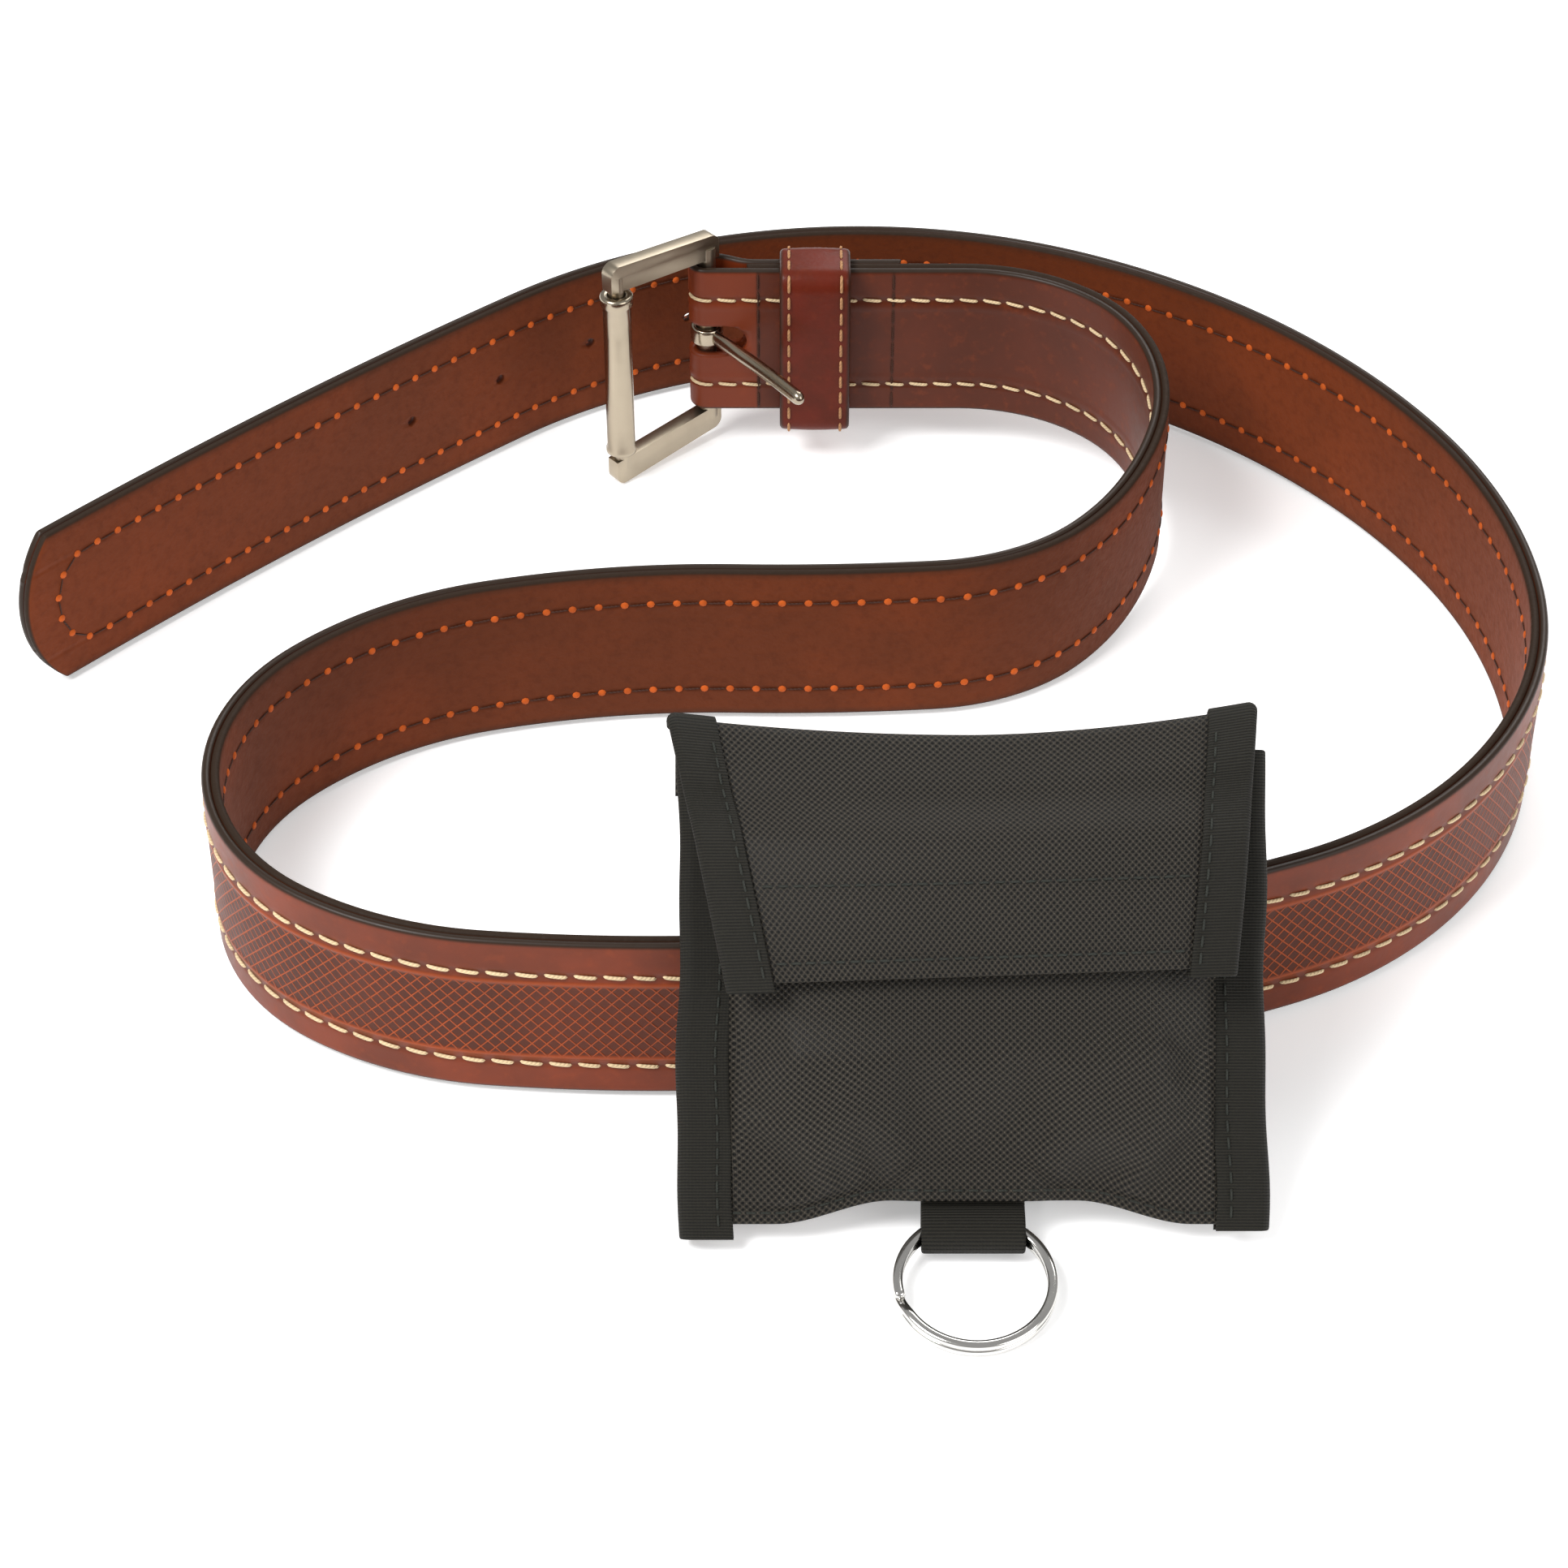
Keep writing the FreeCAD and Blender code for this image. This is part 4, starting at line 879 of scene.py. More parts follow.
def finish(name):
    """A material, made when it is first asked for."""
    kept = bpy.context.scene.get("tool_belt_made", {})
    if name in kept:
        return bpy.data.materials[kept[name]]
    made = FINISH_MAKERS[name]()
    bpy.context.scene["tool_belt_made"] = {**dict(kept), name: made.name}
    return made


# ---------------------------------------------------------------------------------------------
# Belt
# ---------------------------------------------------------------------------------------------
TIP_FADE = 0.035
CHANNEL_DEPTH, CHANNEL_SPREAD = 0.00022, 0.0006
RIDGE_HEIGHT, RIDGE_SPREAD, RIDGE_AWAY = 0.00014, 0.0005, 0.0021


def tip_shift(belt):
    """Along-strap shift of a point so that the end is an arc of the tip's radius: R - sqrt(R^2 -
    h^2) at the height h from the middle, fading out over the first stretch."""
    def shift(along, height):
        off = height - belt.width / 2
        back = belt.tip_trim + belt.tip_radius - np.sqrt(belt.tip_radius ** 2 - off ** 2)
        return along + back * np.clip(1 - along / TIP_FADE, 0, 1) ** 2
    return shift


def strap_rows(route, stop, round_):
    """Places and thickness shares along the strap, round at both its ends."""
    quarter = round_ * (1 - np.cos(np.linspace(0, math.pi / 2, 4)))
    marks = route.samples(0.0, stop)
    marks = marks[(marks > round_) & (marks < stop - round_)]
    places = np.concatenate([quarter, marks, stop - quarter[::-1]])
    near = np.clip(np.minimum(places, stop - places) / round_, 0, 1)
    return places, np.sqrt(1 - (1 - near) ** 2)


def strap_relief(belt):
    """Front face across the strap: a channel under each stitch row and a ridge inside each."""
    def relief(along, height):
        total = np.zeros_like(height)
        for row, inward in ((belt.lower_row, 1), (belt.upper_row, -1)):
            total -= CHANNEL_DEPTH * np.exp(-((height - row) / CHANNEL_SPREAD) ** 2)
            ridge = row + inward * RIDGE_AWAY
            total += RIDGE_HEIGHT * np.exp(-((height - ridge) / RIDGE_SPREAD) ** 2)
        return total
    return relief


def hole_pins(place, belt, hole):
    """Round pins across the strap where the prong holes are."""
    pins = []
    for number in range(belt.hole_count):
        along = belt.first_hole + number * belt.hole_pitch
        depth = np.array([-3, -3, 3, 3]) * belt.ply
        radius = np.array([0, 1, 1, 0]) * hole
        turn = np.linspace(0, 2 * math.pi, 24, endpoint=False)
        u = along + radius[:, None] * np.cos(turn)
        v = belt.width / 2 + radius[:, None] * np.sin(turn)
        d = depth[:, None] + 0 * turn
        pins.append(Surface().add(place(u, v, d), np.stack([u, v], axis=-1), wrap_columns=True)
                    .piece("pin%d" % number))
    return pins


def slot_tool(place, belt, route):
    """Round-ended block along the fold, through the front ply only."""
    start = route.bar - belt.slot_front
    stop = route.bar + math.pi * belt.eye_radius + belt.slot_back
    half = belt.slot_height / 2
    t = np.linspace(0, math.pi, 13)
    middle = np.linspace(start + half, stop - half, 60)
    u = np.concatenate([start + half - half * np.cos(t[:7]), middle,
                        stop - half - half * np.cos(t[6:])])
    reach = np.concatenate([half * np.sin(t[:7]), np.full(60, half), half * np.sin(t[6:])])
    centre = belt.width / 2
    corners = [(-1, -0.0004), (1, -0.0004), (1, belt.ply * 2), (-1, belt.ply * 2)]
    v = np.stack([centre + reach * side for side, depth in corners], axis=1)
    d = np.broadcast_to(np.array([depth for side, depth in corners])[None], v.shape)
    uu = np.broadcast_to(u[:, None], v.shape)
    block = Surface().add(place(uu, v, d), np.stack([uu, v], axis=-1), wrap_columns=True)
    return block.piece("slot")


def build_straps():
    """Both plies: sheets with round edges along the belt's route."""
    belt = sizes("belt")
    route = belt_route()
    place = belt_place(route)
    columns = pinched(belt.width, belt.ply / 2, 58)
    outer = slab(place, strap_rows(route, route.marks[-1], belt.ply / 2), columns, belt.ply,
                 belt.ply / 2, strap_relief(belt), tip_shift(belt)).piece("strap_front_ply")
    cut_out(outer, hole_pins(place, belt, belt.hole_radius) + [slot_tool(place, belt, route)])
    settle(outer, "belt", finish("strap_front"), ["outer_strap"])
    gap = belt.fold_sweep * 0.62 + belt.ply
    lining = slab(place, strap_rows(route, route.bar - gap, belt.ply / 2),
                  pinched(belt.width, belt.ply / 2, 30), belt.ply, -belt.ply / 2, None,
                  tip_shift(belt)).piece("strap_lining_ply")
    cut_out(lining, hole_pins(place, belt, belt.hole_closed))
    settle(lining, "belt", finish("strap_back"), ["lining_strap"])


NOSE_FLAT = 0.75
SEAM_START = 0.0058
SEAM_PAST_BAR = 0.0036
BACK_SEAM_STOP = 0.045
PUCKER_RADIUS, PUCKER_HEIGHT = 0.00088, 0.00042
FOLD_STITCH = 0.0046


def seam_path(belt, start, stop):
    """Stitch ends along both rows and round the tongue: two straight rows joined by an arc."""
    middle = (belt.upper_row + belt.lower_row) / 2
    half = (belt.upper_row - belt.lower_row) / 2
    turn = np.linspace(-math.pi / 2, math.pi / 2, 40)
    nose = np.stack([start + half - half * NOSE_FLAT * np.cos(turn), middle - half * np.sin(turn)],
                    axis=1)
    return np.concatenate([[[stop, belt.upper_row]], nose, [[stop, belt.lower_row]]])


def walk(path, pitch):
    """Points a pitch apart along a chain of straight runs."""
    spans = np.linalg.norm(np.diff(path, axis=0), axis=1)
    marks = np.concatenate([[0.0], np.cumsum(spans)])
    number = round(marks[-1] / pitch)
    where = np.linspace(0, marks[-1], number + 1)
    return np.stack([np.interp(where, marks, path[:, k]) for k in (0, 1)], axis=1)


def build_strap_stitches():
    """Cream thread on the front face, brown thread and raised needle holes on the back."""
    belt = sizes("belt")
    route = belt_route()
    place = belt_place(route)
    knots = walk(seam_path(belt, SEAM_START, route.bar + SEAM_PAST_BAR), belt.stitch)
    way = np.diff(knots, axis=0)
    front = stitches(Surface(), place, knots[:-1] + way * 0.055, knots[1:] - way * 0.055,
                     belt.thread, 0.0005, belt.ply - 0.00018, slant=0.00024)
    settle(front.piece("strap_cream_stitches"), "belt", finish("cream_thread"))
    room = knots[:-1, 0] < route.bar - BACK_SEAM_STOP
    starts, steps = knots[:-1][room], way[room]
    back = stitches(Surface(), place, starts + steps * 0.12, starts + steps * 0.88,
                    belt.thread * 0.5, -0.0002, -belt.ply, slant=0.0001)
    settle(back.piece("strap_back_stitches"), "belt", finish("brown_thread"))
    raised = dots(Surface(), place, starts, PUCKER_RADIUS, -PUCKER_HEIGHT,
                  -belt.ply + 0.00002)
    settle(raised.piece("strap_needle_holes"), "belt", finish("pucker"))


def build_fold_seams():
    """Two dark upright seams that hold the fold, one on each side of the keeper."""
    belt = sizes("belt")
    route = belt_route()
    place = belt_place(route)
    surface = Surface()
    for away in (belt.first_seam, belt.second_seam):
        along = route.bar - away
        starts, ends = row_ends((along, 0.0008), (along, belt.width - 0.0008), FOLD_STITCH, 0.97)
        stitches(surface, place, starts, ends, 0.00026, 0.00012, belt.ply)
    settle(surface.piece("fold_seams"), "belt", finish("brown_thread"))


KEEPER_CORNER = 0.0028
KEEPER_CROWN = 0.0003
KEEPER_ROW = 0.0021
KEEPER_STITCH = 0.0042


def build_keeper():
    """A closed loop of leather round the strap: a rounded rectangle carried across its width."""
    belt = sizes("belt")
    centre = np.array([HEEL_BAR[0] + belt.keeper_place, HEEL_BAR[1] - belt.eye_radius, HEEL_BAR[2]])
    ply = belt.keeper_ply
    front = belt.ply + belt.keeper_gap + ply / 2
    back = 2 * belt.ply + belt.keeper_clearance + ply / 2
    tall = belt.width / 2 + belt.keeper_clearance + ply / 2
    radius = KEEPER_CORNER
    corners = [(-front, -tall, 180), (back, -tall, 270), (back, tall, 0), (-front, tall, 90)]
    ring = []
    for y, z, begin in corners:
        turn = np.radians(np.linspace(begin, begin + 90, 7))
        cy = y + radius * (1 if y < 0 else -1)
        cz = z + radius * (1 if z < 0 else -1)
        ring.append(np.stack([cy + radius * np.cos(turn), cz + radius * np.sin(turn)], axis=1))
    loop = np.concatenate(ring)
    loop = np.concatenate([loop, loop[:1]])
    spans = np.concatenate([[0.0], np.cumsum(np.linalg.norm(np.diff(loop, axis=0), axis=1))])
    marks = np.linspace(0, spans[-1], 121)[:-1]
    line = np.stack([np.interp(marks, spans, loop[:, k]) for k in (0, 1)], axis=1)
    ahead = np.roll(line, -1, axis=0) - np.roll(line, 1, axis=0)
    ahead /= np.linalg.norm(ahead, axis=1, keepdims=True)
    outward = np.stack([ahead[:, 1], -ahead[:, 0]], axis=1)

    def place(along, across, lift):
        along, across, lift = np.broadcast_arrays(along, across, lift)
        t = np.mod(along, spans[-1])
        y = np.interp(t, marks, line[:, 0], period=spans[-1])
        z = np.interp(t, marks, line[:, 1], period=spans[-1])
        ny = np.interp(t, marks, outward[:, 0], period=spans[-1])
        nz = np.interp(t, marks, outward[:, 1], period=spans[-1])
        crown = KEEPER_CROWN * np.cos(math.pi * (across / belt.keeper_width - 0.5)) * (lift > 0)
        return centre + np.stack([across - belt.keeper_width / 2, y + ny * (lift + crown),
                                  z + nz * (lift + crown)], axis=-1)

    angle = np.linspace(0, math.pi, 9)
    width = belt.keeper_width
    half = ply / 2
    face = np.linspace(half, width - half, 14)
    across = np.concatenate([half - half * np.sin(angle), face[1:-1],
                             width - half + half * np.sin(angle), face[1:-1][::-1]])
    lift = np.concatenate([-half * np.cos(angle), np.full(12, half), half * np.cos(angle),
                           np.full(12, -half)])
    pairs = grid_pairs(marks, across)
    band = Surface().add(place(marks[:, None], across[None, :], lift[None, :]), pairs,
                         wrap_rows=True, wrap_columns=True)
    settle(band.piece("keeper_band"), "keeper", finish("keeper"), ["keeper_loop"])
    seams = Surface()
    number = round(spans[-1] / KEEPER_STITCH)
    starts = np.arange(number) * spans[-1] / number
    for row in (KEEPER_ROW, width - KEEPER_ROW):
        first = np.stack([starts, np.full(number, row)], axis=1)
        step = np.array([spans[-1] / number * 0.82, 0.0])
        stitches(seams, place, first, first + step, 0.00034, 0.0004, half + 0.0001)
    settle(seams.piece("keeper_stitches"), "keeper", finish("worn_thread"))


# ---------------------------------------------------------------------------------------------
# Buckle and ring
# ---------------------------------------------------------------------------------------------
def build_frame():
    """The frame's own body with its edges rounded like a casting."""
    source = frame["nodes"]["buckle_frame"]
    mesh = source.data.copy()
    mesh.name = "buckle_casting"
    work = bmesh.new()
    work.from_mesh(mesh)
    bmesh.ops.remove_doubles(work, verts=work.verts, dist=SAME_POINT)
    bmesh.ops.dissolve_limit(work, angle_limit=math.radians(1), verts=work.verts, edges=work.edges)
    work.to_mesh(mesh)
    work.free()
    mesh.materials.clear()
    made = bpy.data.objects.new("buckle_casting", mesh)
    bpy.context.scene.collection.objects.link(made)
    change = made.modifiers.new("edges", "BEVEL")
    change.width = sizes("hardware").bevel
    change.segments = 3
    change.limit_method = "ANGLE"
    change.angle_limit = math.radians(35)
    change.harden_normals = False
    applied(made)
    made.data.shade_smooth()
    settle(made, "buckle", finish("nickel"), ["buckle_frame"])


def build_roller():
    """Rolled tube on the front bar with a lip at each end, turned from one closed profile."""
    hard = sizes("hardware")
    end, outer, wall = hard.roller_end, hard.roller, hard.roller_wall
    inner = outer - wall
    profile = np.array([
        (inner, -end + 0.0003), (inner + 0.0002, -end), (outer - 0.0002, -end),
        (outer + 0.0003, -end + 0.0004), (outer + 0.0003, -end + 0.0012),
        (outer, -end + 0.0018), (outer, -end * 0.5), (outer, 0.0),
        (outer, end * 0.5), (outer, end - 0.0030), (outer + 0.0005, end - 0.0024),
        (outer + 0.0006, end - 0.0006), (outer + 0.0003, end), (inner + 0.0002, end),
        (inner, end - 0.0003), (inner, 0.0)])
    turn = np.linspace(0, 2 * math.pi, 48, endpoint=False)
    points = np.stack([profile[:, 0, None] * np.cos(turn), profile[:, 0, None] * np.sin(turn),
                       profile[:, 1, None] + 0 * turn], axis=-1) + FRONT_BAR
    pairs = grid_pairs(profile[:, 1], turn * outer)
    made = Surface().add(points, pairs, wrap_rows=True, wrap_columns=True).piece("roller_tube")
    settle(made, "roller", finish("bright_nickel"), ["buckle_roller"])


PRONG_GAP = 0.0002
PRONG_TIP = 0.0021
PRONG_WIDE = (0.0019, 0.0017)
PRONG_THICK = (0.0011, 0.0015)
PRONG_SWAY = 0.0006
SQUARED = 0.55


def build_prong():
    """Bent rod: an eye round the heel bar and a shaft that tapers to a round tip."""
    hard = sizes("hardware")
    low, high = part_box("buckle_prong")
    along = np.array([high[0] - HEEL_BAR[0], low[1] - HEEL_BAR[1], 0.0])
    along = along / np.linalg.norm(along)
    up = np.array([0.0, 0.0, 1.0])
    out = np.cross(up, along)
    t = np.linspace(0, 1, 40)
    start = hard.prong_bore + PRONG_GAP
    reach = start + (hard.prong_reach - hard.prong_bore - PRONG_GAP) * np.sin(t * math.pi / 2)
    left = np.clip((hard.prong_reach - reach) / PRONG_TIP, 0, 1)
    tip = np.sqrt(1 - (1 - left) ** 2)
    share = smooth((reach - 0.004) / 0.010)
    wide = (PRONG_WIDE[0] * (1 - share) + PRONG_WIDE[1] * share) * tip
    thick = (PRONG_THICK[0] * (1 - share) + PRONG_THICK[1] * share) * tip
    sway = PRONG_SWAY * np.sin(math.pi * (reach / hard.prong_reach))
    centre = HEEL_BAR + along * reach[:, None] + out * (sway - 0.0003)[:, None]
    shaft = tube(centre, np.tile(up, (40, 1)), np.tile(out, (40, 1)),
                 np.stack([wide, thick], axis=1), 20)
    surface = Surface().add(shaft, grid_pairs(reach, np.linspace(0, 0.01, 20)), wrap_columns=True)
    cap = np.repeat(centre[:1, None], 20, axis=1)
    surface.add(np.concatenate([cap, shaft[:1]]),
                grid_pairs(np.array([0, 0.001]), np.linspace(0, 0.01, 20)), wrap_columns=True)
    middle = hard.prong_bore + hard.prong_wall / 2
    turn = np.linspace(0, 2 * math.pi, 48, endpoint=False)
    a = np.linspace(0, 2 * math.pi, 20, endpoint=False)
    section = np.sign(np.sin(a)) * np.abs(np.sin(a)) ** SQUARED * hard.prong_width / 2
    swell = np.sign(np.cos(a)) * np.abs(np.cos(a)) ** SQUARED * hard.prong_wall / 2
    radial = along * np.cos(turn)[:, None] + out * np.sin(turn)[:, None]
    eye = (HEEL_BAR + radial[:, None, :] * (middle + swell)[None, :, None]
           + up * section[None, :, None])
    surface.add(eye, grid_pairs(turn * middle, section), wrap_rows=True, wrap_columns=True)
    settle(surface.piece("prong_rod"), "prong", finish("bright_nickel"),
           ["buckle_prong"])


RING_BEGIN = 200
RING_CUT = 0.06
RING_CROSSING = 0.44


def build_ring():
    """Two coils of flat wire: a ring whose height steps by one coil over a short crossing."""
    hard = sizes("hardware")
    low, high = (np.array(corner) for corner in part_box("split_ring"))
    centre = (low + high) / 2
    drop = high[2] - low[2] - 2 * hard.ring_coil
    tilt = math.asin(drop / (2 * hard.ring_radius + hard.ring_wire))
    across = np.array([1.0, 0.0, 0.0])
    ahead = np.array([0.0, math.cos(tilt), math.sin(tilt)])
    up = np.cross(across, ahead)
    begin = math.radians(RING_BEGIN)
    turn = np.linspace(RING_CUT, 4 * math.pi - RING_CUT, 260)
    crossed = smooth((turn - 2 * math.pi + RING_CROSSING / 2) / RING_CROSSING)
    layer = (crossed - 0.5) * hard.ring_coil
    radial = across * np.cos(turn + begin)[:, None] + ahead * np.sin(turn + begin)[:, None]
    line = centre + radial * hard.ring_radius + up * layer[:, None]
    a = np.linspace(0, 2 * math.pi, 16, endpoint=False)
    round_ = np.clip(np.minimum(turn - turn[0], turn[-1] - turn) / 0.05, 0, 1)
    full = np.sqrt(1 - (1 - round_) ** 2)
    wide = np.sign(np.cos(a)) * np.abs(np.cos(a)) ** 0.7 * hard.ring_wire / 2
    tall = np.sign(np.sin(a)) * np.abs(np.sin(a)) ** 0.6 * hard.ring_coil * 0.485
    points = (line[:, None] + radial[:, None] * (full[:, None] * wide)[..., None]
              + up * (full[:, None] * tall)[..., None])
    made = Surface().add(points, grid_pairs(turn * hard.ring_radius, a * 0.001), wrap_columns=True)
    settle(made.piece("split_ring_coils"), "ring", finish("steel"), ["split_ring"])


# ---------------------------------------------------------------------------------------------
# Pouch
# ---------------------------------------------------------------------------------------------
def pouch_frame():
    """Function from across, height up the panel and depth out of its back to points: the panel
    leans back about X, and the flap's fold is where the frame has it."""
    pouch = sizes("pouch")
    cos, sin = math.cos(pouch.lean), math.sin(pouch.lean)
    fold = np.array([0.0, -pouch.panel * cos + (pouch.height - 0.0015) * sin,
                     pouch.panel * sin + (pouch.height - 0.0015) * cos])
    base = FLAP_FOLD - fold

    def place(across, height, depth):
        across, height, depth = np.broadcast_arrays(across, height, depth)
        return base + np.stack([across, height * sin - depth * cos, height * cos + depth * sin],
                               axis=-1)
    return place


def panel_half(pouch):
    """Half width of the panels: the binding is folded round their edge with a round outside."""
    return pouch.width / 2 - pouch.seam / 2 - pouch.binding


def lower_edge(pouch, across):
    """Height of the panels' lower edge: the arch, eased down on both sides."""
    side = (np.abs(across - pouch.arch_shift) - pouch.arch_width / 2) / pouch.arch_slope
    return pouch.hem + pouch.arch * (1 - smooth(side))


def bow(pouch, height):
    """Depth of the pocket's middle line: the chord from foot to mouth plus a circle's rise."""
    t = np.clip((height - pouch.foot) / (pouch.mouth - pouch.foot), -0.1, 1.25)
    chord = pouch.foot_depth + (pouch.mouth_depth - pouch.foot_depth) * t
    return chord + pouch.bulge * 4 * t * (1 - t)


def pocket_depth(pouch, across, height):
    """Outer face of the front panel: the bow, falling to the seams as a fourth-power pillow, and
    to the lower edge over a short round."""
    side = np.clip(np.abs(across) / pouch.pocket_half, 0, 1)
    pillow = np.sqrt(np.clip(1 - side ** 5, 0, 1)) * (1 - 0.16 * side ** 2)
    above = height - lower_edge(pouch, across)
    foot = np.sqrt(np.clip(1 - (1 - np.clip((above - 0.0035) / 0.016, 0, 1)) ** 2, 0, 1))
    swell = np.maximum(bow(pouch, height) - pouch.seam, 0)
    dent = 0.0012 * np.exp(-(across / 0.015) ** 2 - ((height - 0.022) / 0.008) ** 2)
    over_tab = (0.0023 * (1 - smooth((np.abs(across) - pouch.tab_width / 2) / 0.006))
                * (1 - smooth((height - pouch.tab_top + 0.002) / 0.008)))
    return pouch.seam + np.maximum(swell * pillow * foot - dent, over_tab)


class Cloth:
    """A grid of points with unit normals, read at any surface coordinates by mixing four
    neighbours, and beyond its border by carrying the last cell on."""

    def __init__(self, rows, columns, points, out):
        self.rows, self.columns, self.points = rows, columns, points
        along = np.gradient(points, axis=0)
        across = np.gradient(points, axis=1)
        normals = np.cross(along, across)
        normals /= np.maximum(np.linalg.norm(normals, axis=-1, keepdims=True), 1e-12)
        centre = normals[len(rows) // 2, len(columns) // 2]
        self.normals = normals * (1.0 if centre @ out > 0 else -1.0)

    def place(self, u, v, lift):
        u, v, lift = np.broadcast_arrays(u, v, lift)
        fu = np.interp(u, self.rows, np.arange(len(self.rows)))
        fu = fu + np.where(u < self.rows[0], (u - self.rows[0]) / (self.rows[1] - self.rows[0]), 0)
        fu = fu + np.where(u > self.rows[-1],
                           (u - self.rows[-1]) / (self.rows[-1] - self.rows[-2]), 0)
        fv = np.interp(v, self.columns, np.arange(len(self.columns)))
        fv = fv + np.where(v < self.columns[0],
                           (v - self.columns[0]) / (self.columns[1] - self.columns[0]), 0)
        fv = fv + np.where(v > self.columns[-1],
                           (v - self.columns[-1]) / (self.columns[-1] - self.columns[-2]), 0)
        i = np.clip(np.floor(fu).astype(int), 0, len(self.rows) - 2)
        j = np.clip(np.floor(fv).astype(int), 0, len(self.columns) - 2)
        a, b = (fu - i)[..., None], (fv - j)[..., None]
        ca, cb = np.clip(a, 0, 1), np.clip(b, 0, 1)

        def read(grid, a, b):
            return ((1 - a) * (1 - b) * grid[i, j] + a * (1 - b) * grid[i + 1, j]
                    + (1 - a) * b * grid[i, j + 1] + a * b * grid[i + 1, j + 1])
        normal = read(self.normals, ca, cb)
        normal /= np.maximum(np.linalg.norm(normal, axis=-1, keepdims=True), 1e-12)
        return read(self.points, a, b) + normal * lift[..., None]


def out_of_panel(place):
    """Direction straight out of the pouch's panel."""
    tip = place(0.0, 0.0, 1.0) - place(0.0, 0.0, 0.0)
    return tip / np.linalg.norm(tip)


CLOTH_FRAMES = 20
SETTLED = {}


def settled(name, points, sewn, most):
    """Cloth simulation of an open sheet, held where it is sewn: slightly too large for its place
    and blown softly outwards, so that it fills and creases; the most caps how far a point moves."""
    if name in SETTLED:
        return SETTLED[name]
    rows, columns = points.shape[:2]
    mesh = bpy.data.meshes.new(name)
    mesh.from_pydata(points.reshape(-1, 3).tolist(), [], grid_faces(rows, columns).tolist())
    trial = bpy.data.objects.new(name, mesh)
    bpy.context.scene.collection.objects.link(trial)
    held = trial.vertex_groups.new(name="sewn")
    held.add(np.flatnonzero(sewn.ravel()).tolist(), 1.0, "REPLACE")
    cloth = trial.modifiers.new("cloth", "CLOTH")
    cloth.settings.vertex_group_mass = "sewn"
    cloth.settings.quality = 6
    cloth.settings.mass = 0.35
    cloth.settings.tension_stiffness = 30
    cloth.settings.compression_stiffness = 12
    cloth.settings.bending_stiffness = 3.0
    cloth.settings.shrink_min = -0.018
    cloth.settings.use_pressure = True
    cloth.settings.uniform_pressure_force = 4.0
    cloth.settings.effector_weights.gravity = 0.0
    cloth.point_cache.frame_end = CLOTH_FRAMES
    for number in range(1, CLOTH_FRAMES + 1):
        bpy.context.scene.frame_set(number)
    graph = bpy.context.evaluated_depsgraph_get()
    moved = np.empty(rows * columns * 3, np.float32)
    trial.evaluated_get(graph).data.vertices.foreach_get("co", moved)
    bpy.context.scene.frame_set(1)
    bpy.data.objects.remove(trial)
    change = moved.reshape(points.shape).astype(float) - points
    far = np.linalg.norm(change, axis=-1, keepdims=True)
    SETTLED[name] = points + change * np.minimum(1.0, most[..., None] / np.maximum(far, 1e-9))
    return SETTLED[name]


def pocket_cloth():
    """Middle of the front panel's cloth: across by height, the lower edge following its arch."""
    pouch = sizes("pouch")
    place = pouch_frame()
    half = panel_half(pouch)
    across = np.linspace(-half, half, 91)
    t = np.linspace(0, 1, 71)
    xx, tt = np.meshgrid(across, t, indexing="ij")
    foot = lower_edge(pouch, xx)
    height = foot + (pouch.mouth - foot) * tt
    depth = pocket_depth(pouch, xx, height) - pouch.cloth / 2
    points = place(xx, height, depth)
    over_tab = (np.abs(xx) < pouch.tab_width / 2) & (height < pouch.tab_top)
    sewn = (np.abs(xx) > pouch.pocket_half - 0.001) | (height - foot < 0.0035) | over_tab
    under_flap = smooth((height - pouch.flap_foot + 0.020) / 0.014)
    points = settled("pocket", points, sewn, pouch.billow * (1 - under_flap))
    return Cloth(across, t * pouch.mouth, points, out_of_panel(place))


HEM_REACH = 0.0445
HEM_ROW = 0.0022


def build_front_panel():
    """The pocket's front: a padded sheet sewn flat at its sides and foot."""
    pouch = sizes("pouch")
    cloth = pocket_cloth()
    rows = pinched(2 * panel_half(pouch), 0.0006, 110)
    rows = (rows[0] - panel_half(pouch), rows[1])
    made = slab(cloth.place, rows, pinched(pouch.mouth, 0.0006, 84), pouch.cloth)
    piece = made.piece("pouch_front_cloth")
    settle(piece, "pouch", finish("nylon"), ["pouch_front_panel"])
    seams = Surface()
    knots = np.linspace(-HEM_REACH, HEM_REACH, 34)
    path = np.stack([knots, np.full(34, HEM_ROW)], axis=1)
    stitches(seams, cloth.place, path[:-1] + [0.0002, 0], path[1:] - [0.0003, 0],
             pouch.thread, 0.0003, pouch.cloth / 2)
    settle(seams.piece("pouch_hem_stitches"), "pouch", finish("black_thread"))


def build_back_panel():
    """Flat back of the pouch with the arch in its lower edge."""
    pouch = sizes("pouch")
    place = pouch_frame()
    top = pouch.height - 0.0035
    half = panel_half(pouch)

    def sheet(across, height, depth):
        foot = lower_edge(pouch, across)
        sag = pouch.sag * (1 - (across / half) ** 2) * smooth(height / top)
        return place(across, foot + (top - sag - foot) * height / top, depth)
    rows = pinched(2 * half, 0.0007, 60)
    rows = (rows[0] - half, rows[1])
    made = slab(sheet, rows, pinched(top, 0.0007, 50), pouch.panel - 0.0002, pouch.panel / 2)
    piece = made.piece("pouch_back_cloth")
    settle(piece, "pouch", finish("nylon"), ["pouch_back_panel"])


